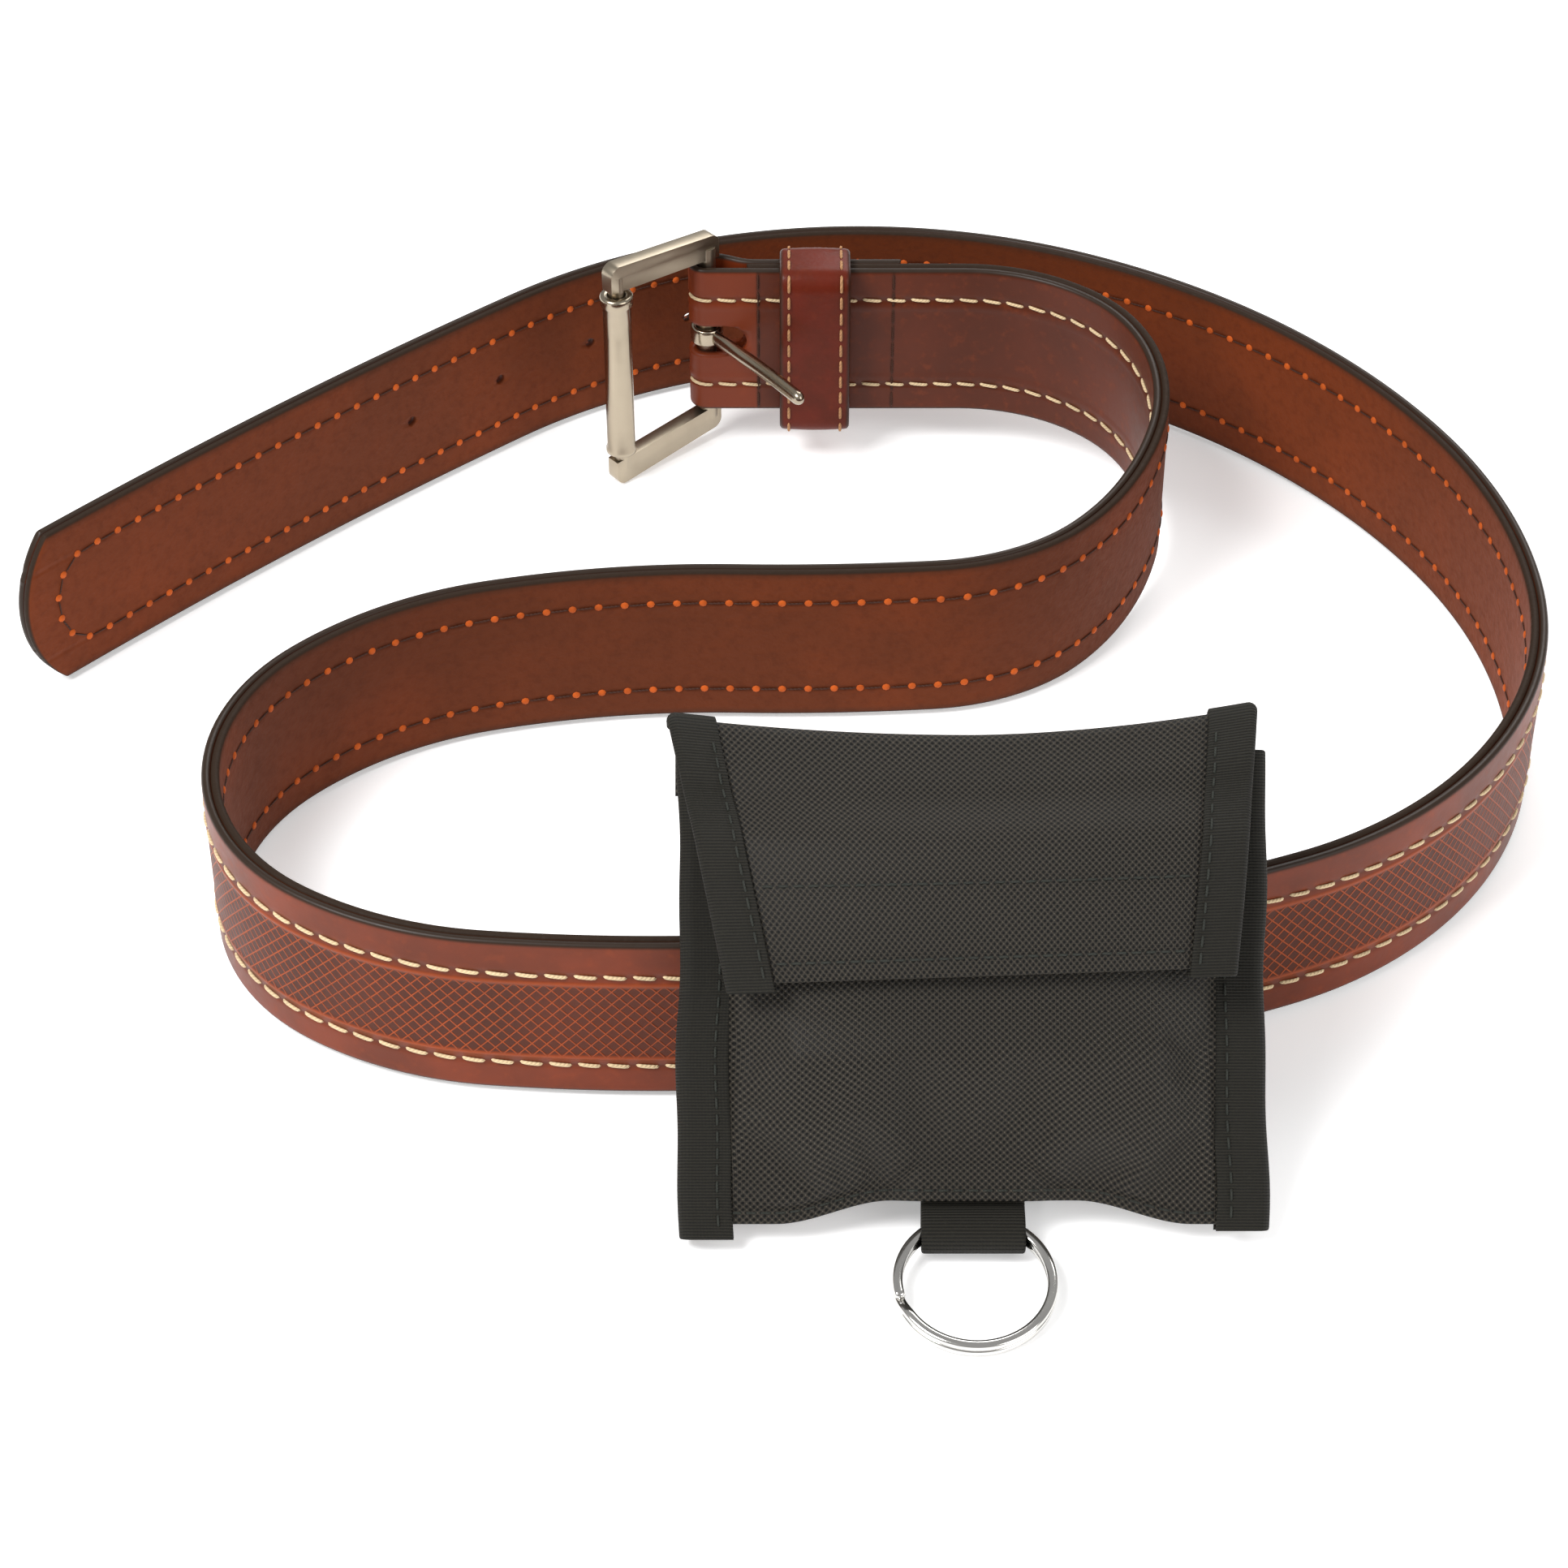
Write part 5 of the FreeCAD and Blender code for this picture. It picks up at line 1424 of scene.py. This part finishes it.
def wrap_line(radius, width):
    """Side view of a tape folded round an edge: distances in from the edge and lifts, straight,
    half round and straight again."""
    turn = np.linspace(math.pi / 2, -math.pi / 2, 13)
    flat = np.linspace(width, 0, 9)
    inward = np.concatenate([flat[:-1], -radius * np.cos(turn), flat[::-1][1:]])
    lift = np.concatenate([np.full(8, radius), radius * np.sin(turn), np.full(8, -radius)])
    spans = np.linalg.norm(np.diff(np.stack([inward, lift], axis=1), axis=0), axis=1)
    return inward, lift, np.concatenate([[0.0], np.cumsum(spans)])


def bound_edge(name, host, edge, span, radius, width, thick, middle=0.0):
    """Tape folded round a host's edge: the wrap line carried along the edge, as a sheet."""
    inward, lift, marks = wrap_line(radius, width)
    ahead_in = np.gradient(inward, marks)
    ahead_up = np.gradient(lift, marks)

    def place(along, around, out):
        e = np.interp(around, marks, inward) - np.interp(around, marks, ahead_up) * -out
        up = np.interp(around, marks, lift) - np.interp(around, marks, ahead_in) * out
        across, height = edge(along, e)
        return host(across, height, middle + up)
    rows = pinched(span, 0.0005, max(12, round(span / 0.0012)))
    steps, share = pinched(marks[-1], 0.0004, 40)
    return slab(place, rows, (steps, share), thick).piece(name)


def build_side_bindings():
    """Grosgrain folded over the seam of both panels, with its row of stitches."""
    pouch = sizes("pouch")
    place = pouch_frame()
    half = panel_half(pouch)
    foot_left, foot_right = 0.0008, 0.0024
    radius = pouch.seam / 2 + pouch.binding / 2
    for side, name in ((-1, "left"), (1, "right")):
        span = pouch.height - pouch.binding_stop - (foot_right if side > 0 else foot_left)
        def edge(along, inward, side=side):
            wave = 0.00035 * np.sin(along * 95 + side) + 0.0002 * np.sin(along * 230)
            return side * (half - inward + wave), along + (foot_right if side > 0 else foot_left)
        wide = pouch.binding_width - radius - pouch.binding / 2
        made = bound_edge("pouch_binding_" + name, place, edge, span, radius, wide, pouch.binding,
                          pouch.seam / 2)
        settle(made, "pouch", finish("binding"), ["side_binding_" + name])
        seams = Surface()
        row = wide - 0.0026
        for lift in (pouch.seam + pouch.binding, -pouch.binding):
            def on_tape(along, inward, out, side=side, lift=lift):
                across, height = edge(along, inward)
                return place(across, height, lift + (out if lift > 0 else -out))
            starts, ends = row_ends((0.002, row), (span - 0.002, row), pouch.stitch, 0.8)
            stitches(seams, on_tape, starts, ends, pouch.thread, 0.0004, 0.00002)
        settle(seams.piece("pouch_binding_stitches_" + name), "pouch", finish("black_thread"))


FLAP_SEWN = 0.082
FLAP_LEAD = 0.086
FLAP_OFFSET = 0.0031


def flap_line(pouch):
    """Side view of the flap's middle line, as depths and heights from its sewn end behind the
    back panel, over the fold and down the pocket's bow, with its marks."""
    centre_depth, centre_height = 0.0016, pouch.height - pouch.fold_radius - 0.0006
    radius = pouch.fold_radius
    back = np.stack([np.full(8, centre_depth - radius),
                     np.linspace(FLAP_SEWN, centre_height, 8)], axis=1)
    turn = np.linspace(math.pi, 0.15, 14)
    over = np.stack([centre_depth + radius * np.cos(turn), centre_height + radius * np.sin(turn)],
                    axis=1)
    heights = np.linspace(FLAP_LEAD, pouch.flap_foot, 40)
    down = np.stack([bow(pouch, heights) + FLAP_OFFSET, heights], axis=1)
    lead = smooth(np.linspace(0, 1, 40) / 0.35)
    start = over[-1]
    down[:, 0] = start[0] + (down[:, 0] - start[0]) * (0.55 + 0.45 * lead)
    line = np.concatenate([back, over[1:], down])
    spans = np.concatenate([[0.0], np.cumsum(np.linalg.norm(np.diff(line, axis=0), axis=1))])
    marks = np.linspace(0, spans[-1], 96)
    depth = np.interp(marks, spans, line[:, 0])
    height = np.interp(marks, spans, line[:, 1])
    for _ in range(3):
        depth[1:-1] = (depth[:-2] + 2 * depth[1:-1] + depth[2:]) / 4
        height[1:-1] = (height[:-2] + 2 * height[1:-1] + height[2:]) / 4
    return marks, depth, height


def edging_inset(pouch):
    """How far the edging's fold keeps the flap's cloth in from its outside."""
    return pouch.edging_round + pouch.binding / 2


def flap_cloth():
    """Middle of the flap's cloth: across by distance along its line from the sewn end."""
    pouch = sizes("pouch")
    place = pouch_frame()
    marks, depth, height = flap_line(pouch)
    inset = edging_inset(pouch)
    half = (pouch.flap_left + pouch.flap_right) / 2 - inset
    share = np.linspace(-1, 1, 81)
    fold = marks[np.argmax(height)]
    gone = np.clip((marks - fold) / (marks[-1] - fold), 0, 1)
    ss, dd = np.meshgrid(share, depth, indexing="ij")
    _, hh = np.meshgrid(share, height, indexing="ij")
    _, gg = np.meshgrid(share, gone, indexing="ij")
    left = inset - pouch.flap_left + pouch.taper_left * gg
    right = pouch.flap_right - inset - pouch.taper_right * gg
    across = (left + right) / 2 + (right - left) / 2 * ss
    near_fold = np.exp(-((hh - pouch.height) / 0.022) ** 2)
    sag = pouch.sag * (1 - (across / half) ** 2) * near_fold
    fall = (0.0042 * np.abs(across / half) ** 3) * smooth((gg - 0.05) / 0.5)
    wave = 0.0004 * np.sin(across * 75 + 1.0) * gg ** 2
    rise = pouch.flap_rise * (across / half) * gg
    tilt = pouch.flap_tilt * np.clip(across / half, 0, 1) ** 1.5 * near_fold
    points = place(across, hh - sag + rise + tilt, dd - fall + wave)
    narrow = ((right - left) / (2 * half))[0]
    return Cloth(share * half, marks, points, out_of_panel(place)), marks, fold, half, narrow


def build_flap():
    """The flap: one sheet sewn behind the back panel, over the fold and down the front."""
    pouch = sizes("pouch")
    cloth, marks, fold, half, narrow = flap_cloth()
    inset = edging_inset(pouch)
    rows = pinched(2 * half, 0.0006, 100)
    rows = (rows[0] - half, rows[1])
    made = slab(cloth.place, rows, pinched(marks[-1], 0.0006, 110), pouch.cloth)
    piece = made.piece("flap_cloth")
    bend_on(piece, finish("nylon"), "pouch_flap")
    2 * half
    float(2 * half * marks[-1] * narrow.mean())
    seams = Surface()
    for along in (marks[-1] - 0.0172, marks[-1] - 0.0034):
        starts, ends = row_ends((-half + 0.0095, along), (half - 0.0095, along), pouch.stitch, 0.8)
        stitches(seams, cloth.place, starts, ends, pouch.thread, 0.0004, pouch.cloth / 2)
    settle(seams.piece("flap_stitches"), "flap", finish("black_thread"))
    start = fold - 0.0030
    for side, name in ((-1, "left"), (1, "right")):
        def edge(along, inward, side=side):
            return side * (half - inward / np.interp(start + along, marks, narrow)), start + along
        span = marks[-1] - start + pouch.edging_tail
        wide = pouch.binding_width - inset - 0.0010
        made = bound_edge("flap_edging_" + name, cloth.place, edge, span, pouch.edging_round, wide,
                          pouch.binding)
        bend_on(made, finish("binding"), "flap_binding_" + name)
        edging_seam = Surface()

        def on_edging(along, inward, out, edge=edge):
            across, height = edge(along, inward)
            return cloth.place(across, height, out)
        row = wide - 0.0015
        starts, ends = row_ends((0.0080, row), (span - 0.002, row), pouch.stitch, 0.8)
        stitches(edging_seam, on_edging, starts, ends, pouch.thread, 0.0004, inset)
        settle(edging_seam.piece("flap_edging_stitches_" + name), "flap", finish("black_thread"))


def bend_on(piece, material, replaced):
    """Give a piece its material, hide the part it replaces and bake its transform; it is not
    attached to any body.
    """
    piece.data.materials.clear()
    piece.data.materials.append(material)
    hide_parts(replaced)
    away = out_of_panel(pouch_frame())
    start = FLAP_FOLD - away * 0.0030
    end = FLAP_FOLD + away * 0.0022
    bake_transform(piece)


def build_tapes():
    """Hook tape under the flap and loop tape on the pocket."""
    pouch = sizes("pouch")
    pocket = pocket_cloth()
    rows = pinched(pouch.tape_width, 0.0004, 40)
    rows = (rows[0] - pouch.tape_width / 2, rows[1])
    columns = pinched(pouch.tape_height, 0.0004, 16)
    columns = (columns[0] + pouch.tape_low, columns[1])
    loop = slab(pocket.place, rows, columns, 0.0009, pouch.cloth / 2 + 0.0004)
    settle(loop.piece("loop_tape_pile"), "pouch", finish("hook"), ["front_loop_tape"])
    cloth, marks = flap_cloth()[:2]
    columns = pinched(pouch.tape_height, 0.0004, 16)
    columns = (columns[0] + marks[-1] - pouch.tape_height - 0.0024, columns[1])
    hook = slab(cloth.place, rows, columns, 0.0009, -pouch.cloth / 2 - 0.0004)
    settle(hook.piece("hook_tape_pile"), "flap", finish("hook"), ["flap_hook_tape"])


def rounded(points, radius, steps=7):
    """A chain of straight runs with each corner turned by a parabola through its two cuts."""
    points = np.array(points, float)
    t = np.linspace(0, 1, steps)[:, None]
    parts = [points[:1]]
    for before, corner, after in zip(points[:-2], points[1:-1], points[2:]):
        back, ahead = before - corner, after - corner
        cut = min(radius, np.linalg.norm(back) / 2, np.linalg.norm(ahead) / 2)
        a = corner + back / np.linalg.norm(back) * cut
        b = corner + ahead / np.linalg.norm(ahead) * cut
        parts.append((1 - t) ** 2 * a + 2 * t * (1 - t) * corner + t ** 2 * b)
    parts.append(points[-1:])
    return np.concatenate(parts)


def web_strip(name, line, width, thick, middle):
    """Webbing carried along a line in the plane across it: a sheet with round edges."""
    spans = np.concatenate([[0.0], np.cumsum(np.linalg.norm(np.diff(line, axis=0), axis=1))])
    keep = np.concatenate([[True], np.diff(spans) > 1e-7])
    line, spans = line[keep], spans[keep]
    ahead = np.gradient(line, spans, axis=0)
    ahead /= np.linalg.norm(ahead, axis=1, keepdims=True)
    normal = np.stack([-ahead[:, 1], ahead[:, 0]], axis=1)

    def place(along, across, lift):
        along, across, lift = np.broadcast_arrays(along, across, lift)
        y = np.interp(along, spans, line[:, 0]) + np.interp(along, spans, normal[:, 0]) * lift
        z = np.interp(along, spans, line[:, 1]) + np.interp(along, spans, normal[:, 1]) * lift
        return np.stack([middle + across, y, z], axis=-1)
    rows, share = pinched(spans[-1], thick / 2, max(30, round(spans[-1] / 0.0008)))
    across, cross_share = pinched(width, thick / 2, 14)
    made = slab(place, (rows, share), (across - width / 2, cross_share), thick).piece(name)
    return made, place, spans[-1]


def build_belt_loop():
    """Webbing from the pouch's back, under the belt, up behind it and back over its top."""
    pouch = sizes("pouch")
    place = pouch_frame()
    low, high = (np.array(corner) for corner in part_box("pouch_belt_loop"))
    web = pouch.web

    def on_back(height):
        return place(0.0, height, -web / 2)[1:]
    rear = high[1] - web / 2
    top = 0.0391 + 0.0005 + web / 2
    lean = math.cos(pouch.lean)
    cover = (top - 0.0007) / lean
    under = low[2] + web / 2
    line = rounded([on_back(0.0185), on_back(0.0095), (on_back(0.0095)[0] + 0.0050, under),
                    (rear, under), (rear, top), on_back(cover), on_back(cover + 0.009)], 0.0022)
    made, on_web, span = web_strip("belt_loop_webbing", line, pouch.loop_width, web, FLAP_FOLD[0])
    settle(made, "pouch", finish("webbing"), ["pouch_belt_loop"])
    seams = Surface()
    for along in (0.002, 0.007, span - 0.002, span - 0.007):
        starts, ends = row_ends((along, -0.012), (along, 0.012), pouch.stitch, 0.8)
        stitches(seams, on_web, starts, ends, pouch.thread, 0.0004, web / 2)
    settle(seams.piece("belt_loop_stitches"), "pouch", finish("black_thread"))


def build_ring_tab():
    """Web tab: down from between the panels, round the ring's tunnel and back up."""
    pouch = sizes("pouch")
    place = pouch_frame()
    web = pouch.tab_web
    up = place(0.0, 1.0, 0.0) - place(0.0, 0.0, 0.0)
    centre = RING_TUNNEL
    turn = np.radians(np.linspace(-35, 205, 40))
    ahead = -np.array([0.0, 1.0, 0.0])
    rise = np.array([0.0, 0.0, 1.0])
    circle = (centre + ahead * (0.0043 * np.sin(turn))[:, None]
              + (rise * 0.72 + up * 0.35) * (0.0030 * np.cos(turn))[:, None])
    first = place(0.0, pouch.tab_top, pouch.panel + 1.5 * web)
    last = place(0.0, pouch.tab_top, pouch.panel + 0.5 * web)
    neck = place(0.0, 0.0105, pouch.panel + 1.5 * web)
    neck_back = place(0.0, 0.0085, pouch.panel + 0.4 * web)
    line = np.concatenate([[first[1:]], [neck[1:]], circle[:, 1:], [neck_back[1:]], [last[1:]]])
    spans = np.concatenate([[0.0], np.cumsum(np.linalg.norm(np.diff(line, axis=0), axis=1))])
    marks = np.linspace(0, spans[-1], 90)
    even = np.stack([np.interp(marks, spans, line[:, k]) for k in (0, 1)], axis=1)
    for _ in range(6):
        even[1:-1] = (even[:-2] + 2 * even[1:-1] + even[2:]) / 4
    made = web_strip("ring_tab_web", even, pouch.tab_width, web, FLAP_FOLD[0])[0]
    settle(made, "pouch", finish("webbing"), ["ring_tab"])


# ---------------------------------------------------------------------------------------------
# Stage
# ---------------------------------------------------------------------------------------------
def area_light(name, place, aim, size, power):
    """A square lamp turned towards a point."""
    lamp = bpy.data.lights.new(name, "AREA")
    lamp.shape = "SQUARE"
    lamp.size = size
    lamp.energy = power
    made = bpy.data.objects.new(name, lamp)
    made.location = place
    way = np.array(aim) - np.array(place)
    flat = math.hypot(way[0], way[1])
    made.rotation_euler = (math.atan2(flat, -way[2]), 0.0, math.atan2(way[1], way[0]) - math.pi / 2)
    bpy.context.scene.collection.objects.link(made)


def build_stage():
    """Pale floor, soft lamps and the camera."""
    stage = sizes("stage")
    aim = np.array([stage.aim_across, stage.aim_along, 0.0])
    camera = bpy.data.cameras.new("camera")
    camera.lens = stage.lens
    camera.sensor_width = 36.0
    camera.dof.use_dof = False
    camera.clip_start = 0.01
    view = bpy.data.objects.new("camera", camera)
    back = stage.distance * np.array([0.0, -math.cos(stage.elevation), math.sin(stage.elevation)])
    view.location = aim + back
    view.rotation_euler = (math.pi / 2 - stage.elevation, 0.0, 0.0)
    bpy.context.scene.collection.objects.link(view)
    bpy.context.scene.camera = view
    corners = np.array([(-6, -6, 0), (6, -6, 0), (6, 6, 0), (-6, 6, 0)], float)
    mesh = bpy.data.meshes.new("floor")
    mesh.from_pydata((corners - [0, 0, 0.0002]).tolist(), [], [(0, 1, 2, 3)])
    floor = bpy.data.objects.new("floor", mesh)
    bpy.context.scene.collection.objects.link(floor)
    graph = Graph("floor")
    mesh.materials.append(graph.finish(Base_Color=(*stage.floor, 1.0), Roughness=0.9,
                                       Emission_Color=(*stage.floor, 1.0),
                                       Emission_Strength=stage.glow))
    world = bpy.data.worlds.new("studio")
    bpy.context.scene.world = world
    world.use_nodes = True
    world.node_tree.nodes["Background"].inputs["Color"].default_value = (1.0, 1.0, 1.0, 1.0)
    world.node_tree.nodes["Background"].inputs["Strength"].default_value = stage.sky
    area_light("key", (-0.70, -0.35, 1.10), aim, 0.55, stage.key)
    area_light("fill", (0.95, -0.75, 0.80), aim, 0.9, stage.fill)
    area_light("rim", (0.30, 1.00, 0.90), aim, 0.7, stage.rim)
    bpy.context.scene.view_settings.view_transform = "Standard"


# ---------------------------------------------------------------------------------------------
# Operators and panel
# ---------------------------------------------------------------------------------------------
class TOOLBELT_OT_stage(bpy.types.Operator):
    """Camera, lamps and the pale floor"""
    bl_idname = "tool_belt.stage"
    bl_label = "Stage"

    def execute(self, context):
        build_stage()
        return {"FINISHED"}


class TOOLBELT_OT_straps(bpy.types.Operator):
    """Both plies of the strap with their prong holes and slot"""
    bl_idname = "tool_belt.straps"
    bl_label = "Straps"

    def execute(self, context):
        build_straps()
        return {"FINISHED"}


class TOOLBELT_OT_strap_stitches(bpy.types.Operator):
    """Thread along both faces of the strap and across its fold"""
    bl_idname = "tool_belt.strap_stitches"
    bl_label = "Strap stitches"

    def execute(self, context):
        build_strap_stitches()
        build_fold_seams()
        return {"FINISHED"}


class TOOLBELT_OT_keeper(bpy.types.Operator):
    """Leather loop round the strap with its stitches"""
    bl_idname = "tool_belt.keeper"
    bl_label = "Keeper"

    def execute(self, context):
        build_keeper()
        return {"FINISHED"}


class TOOLBELT_OT_buckle(bpy.types.Operator):
    """Frame, roller and prong"""
    bl_idname = "tool_belt.buckle"
    bl_label = "Buckle"

    def execute(self, context):
        build_frame()
        build_roller()
        build_prong()
        return {"FINISHED"}


class TOOLBELT_OT_ring(bpy.types.Operator):
    """Two coils of flat wire"""
    bl_idname = "tool_belt.ring"
    bl_label = "Split ring"

    def execute(self, context):
        build_ring()
        return {"FINISHED"}


class TOOLBELT_OT_back_panel(bpy.types.Operator):
    """Back of the pouch"""
    bl_idname = "tool_belt.back_panel"
    bl_label = "Back panel"

    def execute(self, context):
        build_back_panel()
        return {"FINISHED"}


class TOOLBELT_OT_front_panel(bpy.types.Operator):
    """Padded front of the pocket with its hem"""
    bl_idname = "tool_belt.front_panel"
    bl_label = "Front panel"

    def execute(self, context):
        build_front_panel()
        return {"FINISHED"}


class TOOLBELT_OT_side_bindings(bpy.types.Operator):
    """Grosgrain over both side seams"""
    bl_idname = "tool_belt.side_bindings"
    bl_label = "Side bindings"

    def execute(self, context):
        build_side_bindings()
        return {"FINISHED"}


class TOOLBELT_OT_flap(bpy.types.Operator):
    """Flap with its edging and stitch rows"""
    bl_idname = "tool_belt.flap"
    bl_label = "Flap"

    def execute(self, context):
        build_flap()
        return {"FINISHED"}


class TOOLBELT_OT_tapes(bpy.types.Operator):
    """Closing tapes under the flap and on the pocket"""
    bl_idname = "tool_belt.tapes"
    bl_label = "Hook and loop tapes"

    def execute(self, context):
        build_tapes()
        return {"FINISHED"}


class TOOLBELT_OT_belt_loop(bpy.types.Operator):
    """Webbing that the belt passes through"""
    bl_idname = "tool_belt.belt_loop"
    bl_label = "Belt loop"

    def execute(self, context):
        build_belt_loop()
        return {"FINISHED"}


class TOOLBELT_OT_ring_tab(bpy.types.Operator):
    """Web tab that holds the split ring"""
    bl_idname = "tool_belt.ring_tab"
    bl_label = "Ring tab"

    def execute(self, context):
        build_ring_tab()
        return {"FINISHED"}


OPERATORS = [
    TOOLBELT_OT_stage,
    TOOLBELT_OT_straps,
    TOOLBELT_OT_strap_stitches,
    TOOLBELT_OT_keeper,
    TOOLBELT_OT_buckle,
    TOOLBELT_OT_ring,
    TOOLBELT_OT_back_panel,
    TOOLBELT_OT_front_panel,
    TOOLBELT_OT_side_bindings,
    TOOLBELT_OT_flap,
    TOOLBELT_OT_tapes,
    TOOLBELT_OT_belt_loop,
    TOOLBELT_OT_ring_tab,
]


class TOOLBELT_PT_build(bpy.types.Panel):
    """Lists the pieces of the tool belt"""
    bl_label = "Tool belt"
    bl_idname = "TOOLBELT_PT_build"
    bl_space_type = "VIEW_3D"
    bl_region_type = "UI"
    bl_category = "Tool belt"

    def draw(self, context):
        for made in OPERATORS:
            self.layout.operator(made.bl_idname)
        for group in GROUPS:
            for name in GROUPS[group].__annotations__:
                self.layout.prop(sizes(group), name)


def register():
    for group, kind in GROUPS.items():
        bpy.utils.register_class(kind)
        setattr(bpy.types.Scene, "tool_belt_" + group, bpy.props.PointerProperty(type=kind))
    for kind in [*OPERATORS, TOOLBELT_PT_build]:
        bpy.utils.register_class(kind)


def unregister():
    for kind in [TOOLBELT_PT_build, *reversed(OPERATORS)]:
        bpy.utils.unregister_class(kind)
    for group, kind in GROUPS.items():
        delattr(bpy.types.Scene, "tool_belt_" + group)
        bpy.utils.unregister_class(kind)


def main():
    """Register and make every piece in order."""
    register()
    for made in OPERATORS:
        getattr(bpy.ops.tool_belt, made.bl_idname.split(".")[1])()


if __name__ == "__main__":
    main()
